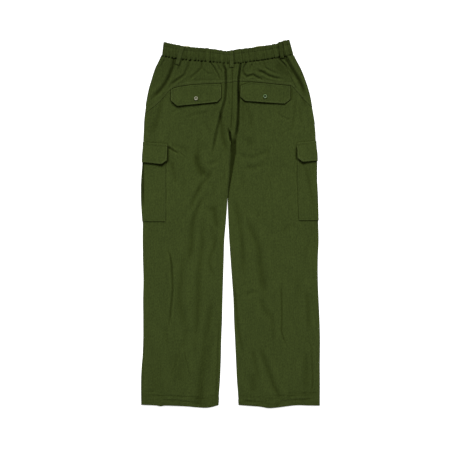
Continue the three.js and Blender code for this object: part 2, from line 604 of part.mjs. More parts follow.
// A piece that wraps the outseam, in the leg's own rows: over the back, round the side and under
// the front, at a distance off the leg.
function wrapRow(side, y, backWidth, frontWidth, off, bulge, topOff = off) {
  const sign = sideSign(side);
  const out = outerX(side, y);
  const points = [];
  const flat = [1, 0.66, 0.33, 0].map((s) => lerp(EDGE_ROLL, backWidth, s));
  const high = (x) => underside(x, y) + LOFT;
  const middle = outseamZ(side, y);
  const turns = [60, 25, 0, -25, -60].map((d) => (d * Math.PI) / 180);
  flat.forEach((d) => {
    const x = out - sign * d;
    points.push([x, y, high(x) + topOff]);
  });
  const inX = out - sign * EDGE_ROLL;
  turns.forEach((a) => {
    const rise = a > 0 ? high(inX) - middle + off : middle - underside(inX, y) + off;
    const puff = bulge * Math.max(0, Math.cos(a + 0.35)) ** 2;
    points.push([inX + sign * ((EDGE_ROLL + off) * Math.cos(a) + puff), y, middle + rise * Math.sin(a)]);
  });
  [0, 0.33, 0.66, 1].forEach((s) => {
    const x = out - sign * lerp(EDGE_ROLL, frontWidth, s);
    points.push([x, y, underside(x, y) - off]);
  });
  return points;
}

function cargoPocket(side) {
  const { backWidth, frontWidth, bulge } = POCKETS[side];
  const rows = [POCKET_BOTTOM_Y, ...LEVELS.filter((y) => y > POCKET_BOTTOM_Y && y <= POCKET_TOP_Y)];
  const layer = (off) =>
    rows.map((y) => {
      const swell = bulge * Math.sin(Math.PI * clamp01((y - POCKET_BOTTOM_Y) / (FLAP_BOTTOM_Y - POCKET_BOTTOM_Y)));
      return wrapRow(side, y, backWidth, frontWidth, off, Math.max(0, swell));
    });
  return wall(layer(LAY_GAP + POCKET_CLOTH), layer(LAY_GAP), -outwardOf(side));
}

function cargoFlap(side) {
  const { backWidth, frontWidth } = POCKETS[side];
  const under = LAY_GAP + POCKET_CLOTH + LAY_GAP;
  const rows = [
    { y: FLAP_BOTTOM_Y, cut: CARGO_FLAP_CORNER, stand: CARGO_FLAP_STAND },
    { y: FLAP_BOTTOM_Y + CARGO_FLAP_CORNER, cut: 0, stand: 0.7 * CARGO_FLAP_STAND },
    { y: 205, cut: 0, stand: 0.45 * CARGO_FLAP_STAND },
    { y: FLAP_TOP_Y, cut: 0, stand: 0 },
  ];
  const layer = (thickness) =>
    rows.map(({ y, cut, stand }) => {
      const back = backWidth + CARGO_FLAP_EXTRA - cut;
      const front = frontWidth + CARGO_FLAP_EXTRA - cut;
      return wrapRow(side, y, back, front, under + thickness, 0, under + thickness + stand);
    });
  return wall(layer(FLAP_CLOTH), layer(0), -outwardOf(side));
}

// Back pocket flap, lying on the back panel and lifting towards its lower edge
function backFlap(side) {
  const f = BACK_FLAPS[side];
  const shares = [0, 0.1, 0.2, 0.35, 0.5, 0.65, 0.8, 0.9, 1];
  const rows = [0, 0.3, 0.65, 1];
  const topY = (s) => {
    const bow = f.topMid[1] - (f.topOut[1] + f.topIn[1]) / 2;
    return lerp(f.topOut[1], f.topIn[1], s) + bow * 4 * s * (1 - s);
  };
  const width = Math.abs(f.topIn[0] - f.topOut[0]);
  const bottomY = (s) => {
    const fromEnd = Math.min(s, 1 - s) * width;
    return lerp(f.bottomOut[1], f.bottomIn[1], s) + f.corner * (1 - clamp01(fromEnd / f.corner));
  };
  const off = LAY_GAP + 0.5;
  const layer = (thickness) =>
    rows.map((v) =>
      shares.map((s) => {
        const x = lerp(f.topOut[0], f.topIn[0], s);
        const y = lerp(topY(s), bottomY(s), v);
        return [x, y, backHeight(x, y) + off + BACK_FLAP_STAND * v ** 1.5 + thickness];
      }),
    );
  return wall(layer(FLAP_CLOTH), layer(0), side === "left" ? -1 : 1);
}

// Welt of the back pocket, a narrow lip that the flap covers
function backWelt(side) {
  const [from, to, y] = BACK_WELTS[side];
  const steps = 8;
  const layer = (thickness) =>
    [0, WELT_HEIGHT].map((rise) =>
      Array.from({ length: steps + 1 }, (_, i) => {
        const x = lerp(from, to, i / steps);
        const at = y - WELT_HEIGHT / 2 - 26 + rise;
        return [x, at, backHeight(x, at) + 0.35 + thickness];
      }),
    );
  return wall(layer(0.5), layer(0), 1);
}

// Belt loop: a strip from the band's top edge down over the waist seam
function beltLoop({ top, bottom }, heightAt, thickness, outward) {
  const shares = [0, 0.12, 0.3, 0.5, 0.7, 0.85, 1];
  const length = Math.hypot(top[0] - bottom[0], top[1] - bottom[1]);
  const across = [(top[1] - bottom[1]) / length, (bottom[0] - top[0]) / length];
  const layer = (off) =>
    shares.map((s) => {
      const x = lerp(bottom[0], top[0], s);
      const y = lerp(bottom[1], top[1], s);
      const z = heightAt(x, y) + outward * off;
      return [-0.5, 0.5].map((w) => [x + across[0] * w * LOOP_WIDTH, y + across[1] * w * LOOP_WIDTH, z]);
    });
  return wall(layer(thickness), layer(0), outward);
}
// Clear of the gathers over the band, and down to the yoke below the seam
function overBack(x, y) {
  const onBand = smooth((y - waistSeamY(x) + 12) / 14);
  const crest = BACK_BAND_TOP + 2 * BAND_GATHER_HEIGHT + LAY_GAP;
  const yokeTop = backHeight(x, y) + YOKE_GATHER_HEIGHT + LAY_GAP + 1;
  return lerp(yokeTop, Math.max(crest, yokeTop), onBand);
}
const underFront = () => BAND_FLOOR - LAY_GAP;

// Four-hole button: a dished disc turned round its axis, with its holes cut through
function solidOf(geometry) {
  const plain = geometry.clone();
  ["normal", "uv"].forEach((name) => plain.deleteAttribute(name));
  const merged = mergeVertices(plain, 1e-4);
  return new wasm.Manifold(
    new wasm.Mesh({
      numProp: 3,
      vertProperties: merged.attributes.position.array,
      triVerts: new Uint32Array(merged.index.array),
    }),
  );
}
function button([x, y], z, facing) {
  const { radius, thickness, rim, dish, hole, pitch } = BUTTON;
  const profile = [
    [0, 0], [radius - 0.7, 0], [radius, 0.6], [radius, thickness - 0.5], [radius - 0.6, thickness],
    [radius - rim - 0.5, thickness], [radius - rim - 1.3, thickness - dish], [0, thickness - dish],
  ].map(([r, h]) => new THREE.Vector2(r, h));
  let disc = solidOf(new THREE.LatheGeometry(profile, 20).rotateX(Math.PI / 2));
  [-1, 1].forEach((sx) =>
    [-1, 1].forEach((sy) => {
      const drill = new THREE.CylinderGeometry(hole, hole, 4 * thickness, 6).rotateX(Math.PI / 2);
      disc = disc.subtract(solidOf(drill.translate(sx * pitch, sy * pitch, thickness / 2)));
    }),
  );
  const { vertProperties, triVerts } = disc.getMesh();
  const geometry = new THREE.BufferGeometry();
  geometry.setAttribute("position", new THREE.Float32BufferAttribute(vertProperties, 3));
  geometry.setIndex([...triVerts]);
  if (facing < 0) geometry.rotateX(Math.PI);
  return geometry.translate(x, y, z);
}
function flapButton(side) {
  const [x, y] = BACK_BUTTONS[side];
  const f = BACK_FLAPS[side];
  const share = (x - f.topOut[0]) / (f.topIn[0] - f.topOut[0]);
  const top = lerp(f.topOut[1], f.topIn[1], share) + 4;
  const low = lerp(f.bottomOut[1], f.bottomIn[1], share);
  const v = (top - y) / (top - low);
  const onFlap = backHeight(x, y) + LAY_GAP + 0.5 + BACK_FLAP_STAND * v ** 1.5 + FLAP_CLOTH;
  return button([x, y], onFlap + 1, 1);
}

// Fly placket on the front's left half, with a rounded lower end
function flyPlacket() {
  const rows = 7;
  const top = waistMiddleY() - 2;
  const layer = (off) =>
    Array.from({ length: rows + 1 }, (_, k) => {
      const y = lerp(FLY.bottomY, top, k / rows);
      const curve = clamp01((FLY.curveY - y) / (FLY.curveY - FLY.bottomY));
      const outX = lerp(FLY.outer, FLY.inner - 6, 1 - Math.sqrt(1 - curve ** 2));
      return [0, 0.33, 0.67, 1].map((s) => {
        const x = lerp(FLY.inner, outX, s);
        return [x, y, underside(x, y) - off];
      });
    });
  return wall(layer(LAY_GAP + CLOTH), layer(LAY_GAP), 1);
}

const group = new THREE.Group();
function add(name, geometry, look) {
  const mesh = new THREE.Mesh(geometry, new THREE.MeshStandardMaterial(look));
  mesh.name = name;
  group.add(mesh);
}

for (const side of ["left", "right"]) {
  add(`back_leg_${side}`, backLeg(side), OLIVE);
  add(`front_leg_${side}`, frontLeg(side), OLIVE);
  add(`back_yoke_${side}`, yoke(side), OLIVE);
  add(`front_pocket_facing_${side}`, pocketFacing(side), OLIVE_DARK);
  add(`cargo_pocket_${side}`, cargoPocket(side), OLIVE);
  add(`cargo_flap_${side}`, cargoFlap(side), OLIVE);
  add(`back_flap_${side}`, backFlap(side), OLIVE);
  add(`back_welt_${side}`, backWelt(side), OLIVE_DARK);
  add(`back_button_${side}`, flapButton(side), HORN);
}
add("waistband_back", backBand(), OLIVE);
add("waistband_front", frontBand(), OLIVE);
add("waistband_facing", waistFacing(), CREAM);
BACK_LOOPS.forEach((loop) => add(loop.name, beltLoop(loop, overBack, LOOP_CLOTH, 1), OLIVE));
FRONT_LOOPS.forEach((loop) => add(loop.name, beltLoop(loop, underFront, LOOP_CLOTH, -1), OLIVE));
add("fly_placket", flyPlacket(), OLIVE);
add("waist_button", button(WAIST_BUTTON_AT, BAND_FLOOR - SEAM_GAP, -1), HORN);

export default group;
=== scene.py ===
# %% [markdown]
# # Cargo trousers, laid flat
#
# These trousers lie on a pale surface with their back up. They are sewn from thin twill: two back
# legs and two front legs, a shaped yoke over each hip, an elastic waistband that gathers the cloth
# under it, flap pockets on the seat and cargo pockets that wrap the outseams. A flat garment could
# be modelled with cloth simulation, but its folds then fall where they like. Here each panel is a
# surface worked out from sizes, so every fold can be put where the real one lies.

from collections import namedtuple

import bmesh
import bpy
import numpy as np
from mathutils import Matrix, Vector


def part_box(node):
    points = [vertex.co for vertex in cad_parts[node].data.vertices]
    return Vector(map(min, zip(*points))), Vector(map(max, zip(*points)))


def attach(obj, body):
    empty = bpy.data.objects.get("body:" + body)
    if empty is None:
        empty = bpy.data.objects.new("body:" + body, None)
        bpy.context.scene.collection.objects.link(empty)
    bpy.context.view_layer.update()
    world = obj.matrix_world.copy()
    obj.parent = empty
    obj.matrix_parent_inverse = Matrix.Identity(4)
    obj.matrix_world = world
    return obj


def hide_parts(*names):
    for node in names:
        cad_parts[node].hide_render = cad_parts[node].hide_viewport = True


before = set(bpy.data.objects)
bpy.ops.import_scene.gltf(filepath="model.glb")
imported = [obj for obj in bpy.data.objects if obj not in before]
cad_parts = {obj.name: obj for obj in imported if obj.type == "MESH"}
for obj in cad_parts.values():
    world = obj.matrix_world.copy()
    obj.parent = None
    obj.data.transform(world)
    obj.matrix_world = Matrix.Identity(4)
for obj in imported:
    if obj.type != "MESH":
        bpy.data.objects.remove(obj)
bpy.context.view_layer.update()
MM = 0.001

# %% [markdown]
# ## Sizes
#
# All sizes are in millimetres: +X to the wearer's right, +Y from the hems to the waist, +Z up. The
# outline is a table of the two outseams and the two inner edges at two dozen levels, and a smooth
# curve runs through the rows. Over the crotch the inner edges are one centre seam.


# %% Tables of the outline
def table(names, rows):
    """The columns of a short table, by name."""
    return dict(zip(names.split(), np.array(rows, float).T))


OUTLINE = table(
    "y left_out left_in right_in right_out",
    [
        (-540, -258.3, -36, 26, 260),
        (-453, -259, -29.5, 19.3, 260.3),
        (-410, -256.8, -27.6, 17.2, 260),
        (-385, -254.5, -26.8, 16, 260.2),
        (-337, -252.7, -25.8, 13.8, 260.6),
        (-280, -252.6, -23.6, 11, 259.3),
        (-221, -253, -22.3, 9.2, 256.6),
        (-163, -251.9, -20.6, 5.2, 254.4),
        (-105, -253.3, -18.8, 1.0, 254.3),
        (-47, -254.2, -17, -2.8, 256.6),
        (11, -253.6, -12.1, -5.6, 255),
        (69, -253.4, -8.2, -7.4, 253.5),
        (98, -253.4, -7.1, -6.3, 252.3),
        (127, -253.8, -4.6, -3.9, 250.8),
        (185, -253, -0.7, 0.2, 250.6),
        (214, -252, 0.8, 1.6, 249.4),
        (243, -252, 1.4, 2, 248),
        (272, -250.8, 1.9, 2.2, 246.8),
        (301, -249.6, 3, 3.3, 242.8),
        (330, -246.2, 4.5, 4.8, 237.8),
        (359, -241.6, 5.3, 5.6, 233),
        (388, -235.6, 6, 6.3, 225.6),
        (417, -226.9, 6, 6.3, 215.6),
        (446, -217.6, 5.6, 5.9, 204),
        (475, -204.3, 5, 5.3, 189.6),
        (495, -197, 5, 5.3, 180.5),
    ],
)
HEM = table(
    "x y",
    [
        (-262, -525.4), (-240, -526.2), (-214, -527.4), (-202, -529.6), (-190, -527.8),
        (-156, -528.6), (-122, -530.3), (-98, -532.6), (-70, -534), (-52, -531.4), (-35, -527),
        (22, -526), (41, -527.4), (64, -529), (88, -531), (111, -535), (134, -533.6), (157, -530.6),
        (192, -526.7), (228, -527.4), (264, -527.8),
    ],
)
WAIST = table(
    "x seam top",
    [
        (-200, 486.5, 529), (-169, 480.7, 522), (-143, 476.9, 516.6), (-126, 475, 513),
        (-105, 473, 511.6), (-69, 470.2, 509), (-39, 467.6, 505), (-11.5, 465, 500.9),
        (5, 464.5, 503), (23.6, 465.2, 506.2), (61, 470.2, 510.4), (98, 475, 516),
        (135, 481.3, 522.6), (152, 484, 529.6), (170, 487.5, 533.4), (186, 490.5, 533.6),
    ],
)
YOKE_SEAM = {
    "left": table(
        "x y",
        [
            (-247, 319), (-205, 352.5), (-177, 385.5), (-163, 394.7), (-147.8, 398.2), (-111.5, 403.5),
            (-75, 405), (-21, 407.2), (6, 409.5),
        ],
    ),
    "right": table(
        "x y",
        [
            (6, 409.5), (14, 411.3), (59, 411.7), (84, 409.6), (113, 406.6), (149.5, 403), (176, 400.8),
            (188, 389.5), (215.6, 357), (240, 334),
        ],
    ),
}
HEM_Y, HEM_TURN, HEM_STITCHING = -524.2, 22.5, 19.5
SEAT_Y = 275.0
YOKE_END_Y = {"left": 319.0, "right": 334.0}
YOKE_CENTRE_Y = 409.5
SIGN = {"left": -1.0, "right": 1.0}

# Flaps: the back ones by their top and bottom edges, from the outer end to the inner end.
BACK_FLAPS = {
    "left": {
        "top": [(-171.6, 389), (-150, 396.4), (-128, 400), (-105.7, 402.6), (-75, 404), (-27.4, 405.4)],
        "bottom": [(-171.6, 357), (-154, 341), (-37.5, 352), (-26.2, 365)],
    },
    "right": {
        "top": [(173.6, 399.6), (149.5, 401.8), (113, 405.4), (84, 408.4), (60, 409.6), (30.4, 400)],
        "bottom": [(174.2, 361), (158, 347.6), (43.6, 355), (29.4, 367)],
    },
}
# Cargo flaps: up the garment at the outseam and at the inner side; widths in from the outseam.
CARGO_FLAPS = {
    "left": {"top": (236.5, 231.5), "bottom": (178.0, 170.8), "width": 69.0, "front": 119.0},
    "right": {"top": (240.6, 235.0), "bottom": (182.6, 177.6), "width": 55.2, "front": 125.0},
}
print("side length about", round(WAIST["top"].max() - HEM["y"].min()), "mm")


# %% Curves through the tables
def lerp(a, b, t):
    """The point a share t of the way from a to b."""
    return a + (b - a) * t


def clamp(t):
    """t, but not under 0 or over 1."""
    return np.clip(t, 0.0, 1.0)


def smooth(t):
    """An S curve from 0 to 1: 3t^2 - 2t^3."""
    t = clamp(t)
    return t * t * (3 - 2 * t)


def bell(t):
    """A bell: exp(-t^2), which is 1 in the middle and almost 0 two widths away."""
    return np.exp(-(t**2))


def beside(distance, gap, width):
    """1 on a line that lies a gap away from an edge, fading over a width to both sides."""
    return bell((distance - gap) / width)


def follow(tab, key, column, at):
    """Cubic pieces through a table's rows. Each row's slope is that of the line between its two
    neighbours."""
    k, v = tab[key], tab[column]
    row = np.arange(len(k))
    low, high = np.maximum(row - 1, 0), np.minimum(row + 1, len(k) - 1)
    slope = (v[high] - v[low]) / (k[high] - k[low])
    i = np.clip(np.searchsorted(k, at, side="right") - 1, 0, len(k) - 2)
    step = k[i + 1] - k[i]
    t = (at - k[i]) / step
    return (
        (2 * t**3 - 3 * t**2 + 1) * v[i]
        + (t**3 - 2 * t**2 + t) * step * slope[i]
        + (3 * t**2 - 2 * t**3) * v[i + 1]
        + (t**3 - t**2) * step * slope[i + 1]
    )


def outer_x(side, y):
    """The outseam, on the curve through the outline's rows."""
    return follow(OUTLINE, "y", side + "_out", y)


def inner_x(side, y):
    """The inner edge. The legs part under the crotch, but still touch down to y = 60."""
    own = follow(OUTLINE, "y", side + "_in", y)
    other = follow(OUTLINE, "y", ("right" if side == "left" else "left") + "_in", y)
    overlap = 0.1 if side == "left" else -0.1
    return lerp(own, (own + other) / 2 + overlap, smooth((y - 60) / 24))


def from_side(side, x, y):
    """Distance in from the outseam."""
    return np.abs(x - outer_x(side, y))


def from_inner(side, x, y):
    """Distance from the inner edge."""
    return np.abs(x - inner_x(side, y))


def waist_seam(x):
    """Y of the seam between the yokes and the waistband."""
    return follow(WAIST, "x", "seam", x)


def waist_top(x):
    """Y of the waistband's top edge."""
    return follow(WAIST, "x", "top", x)


def hem_y(x):
    """Y of the hems' lower edge."""
    return follow(HEM, "x", "y", x)


def outline_distance(outline, x, y):
    """Distance to the nearest side of a closed outline of (x, y) corners."""
    best = np.full(np.broadcast(x, y).shape, 99.0)
    for (ax, ay), (bx, by) in zip(outline, outline[1:] + outline[:1]):
        length = np.hypot(bx - ax, by - ay)
        s = np.clip(((x - ax) * (bx - ax) + (y - ay) * (by - ay)) / length**2, 0, 1)
        best = np.minimum(best, np.hypot(x - ax - s * (bx - ax), y - ay - s * (by - ay)))
    return best


print("hip width", round(float(outer_x("right", 243.0) - outer_x("left", 243.0))), "mm")

# %% [markdown]
# ## How high the cloth lies
#
# The trousers are two layers of cloth with a little air between them. Pieces that lie under the
# front, such as the front half of a cargo pocket, lift it off the floor. The seat stands highest,
# because its cloth is cut fuller than the flat outline. Each fold is a soft trough along a short
# path: a bell across the path, as deep and as wide as its row in the table says, with a low brow
# of raised cloth beside it. A sculpt or a displacement image could do this as well, but a table of
# paths is easy to read and to move.

# %% Cloth sizes and lifts
CLOTH = 1.2
SEAM_GAP = 0.3
LAY_GAP = 0.4
LOFT = 5.6
SEAT_RISE = 7.5
SEAT_MIDDLE = (4.0, 345.0)
SEAT_SPREAD = (74.0, 112.0)
POCKET_LIFT = LAY_GAP + CLOTH + 0.1
FLAP_CLOTH = 1.4
FLAP_LIFT = LAY_GAP + FLAP_CLOTH
WAIST_LIFT = 3.2
FLY_LIFT = 1.8
EDGE_ROLL = 6.0
CROTCH_Y = 245.0
CROTCH_BLEND = 45.0


def underside(x, y):
    """Height of the front over the floor: ramps up to each piece that lies under it."""
    lift = np.zeros(np.broadcast(x, y).shape)
    for side in SIGN:
        here = (x < 0) if side == "left" else (x >= 0)
        share = (x - outer_x(side, y)) / (inner_x(side, y) - outer_x(side, y))
        rise = POCKET_LIFT * clamp((y + 18) / 24) + FLAP_LIFT * clamp((y - 160) / 12)
        rise = rise * clamp((SEAT_Y - y) / 33) * clamp((0.7 - share) / 0.1)
        lift = np.where(here, rise, lift)
    up = (y - SEAT_Y) / (waist_seam(x) - SEAT_Y)
    fly = FLY_LIFT * clamp(up / 0.2) * clamp((76 - np.abs(x - 5)) / 24)
    return lift + lerp(fly, WAIST_LIFT, clamp((up - 0.7) / 0.18))


def bridging(x, y):
    """The same lift as the back cloth takes it up: it bridges the ramps in long, soft slopes."""
    lift = np.zeros(np.broadcast(x, y).shape)
    for side in SIGN:
        here = (x < 0) if side == "left" else (x >= 0)
        share = (x - outer_x(side, y)) / (inner_x(side, y) - outer_x(side, y))
        rise = POCKET_LIFT * smooth((y + 70) / 120) + FLAP_LIFT * smooth((y - 110) / 90)
        rise = rise * smooth((SEAT_Y + 70 - y) / 130) * smooth((0.95 - share) / 0.5)
        lift = np.where(here, rise, lift)
    up = (y - SEAT_Y) / (waist_seam(x) - SEAT_Y)
    fly = FLY_LIFT * smooth((up + 0.1) / 0.5) * smooth((96 - np.abs(x - 5)) / 66)
    return lift + lerp(fly, WAIST_LIFT, smooth((up - 0.45) / 0.5))


def rest_height(x, y):
    """Height of the back without folds: the bridged lift, the loft and a bell for the seat."""
    across = (x - SEAT_MIDDLE[0]) / SEAT_SPREAD[0]
    along = (y - SEAT_MIDDLE[1]) / SEAT_SPREAD[1]
    return bridging(x, y) + LOFT + SEAT_RISE * np.exp(-(across**2) - along**2)


print("seat height", round(float(rest_height(np.array(4.0), np.array(330.0))), 1), "mm")

# %% Folds of the back
# The colour column of a fold is its painted shade.
Fold = namedtuple("Fold", "name path depth width brow colour")


def fold(name, depth, width, brow, colour, *path):
    """One row of the table. Depth, width and depth of painted shade are given at the fold's start and
    at its end; the brow, the raised cloth beside it, is a share of the depth; and the path is X, Y,
    X, Y and so on."""
    return Fold(name, np.reshape(np.array(path, float), (-1, 2)), depth, width, brow, colour)


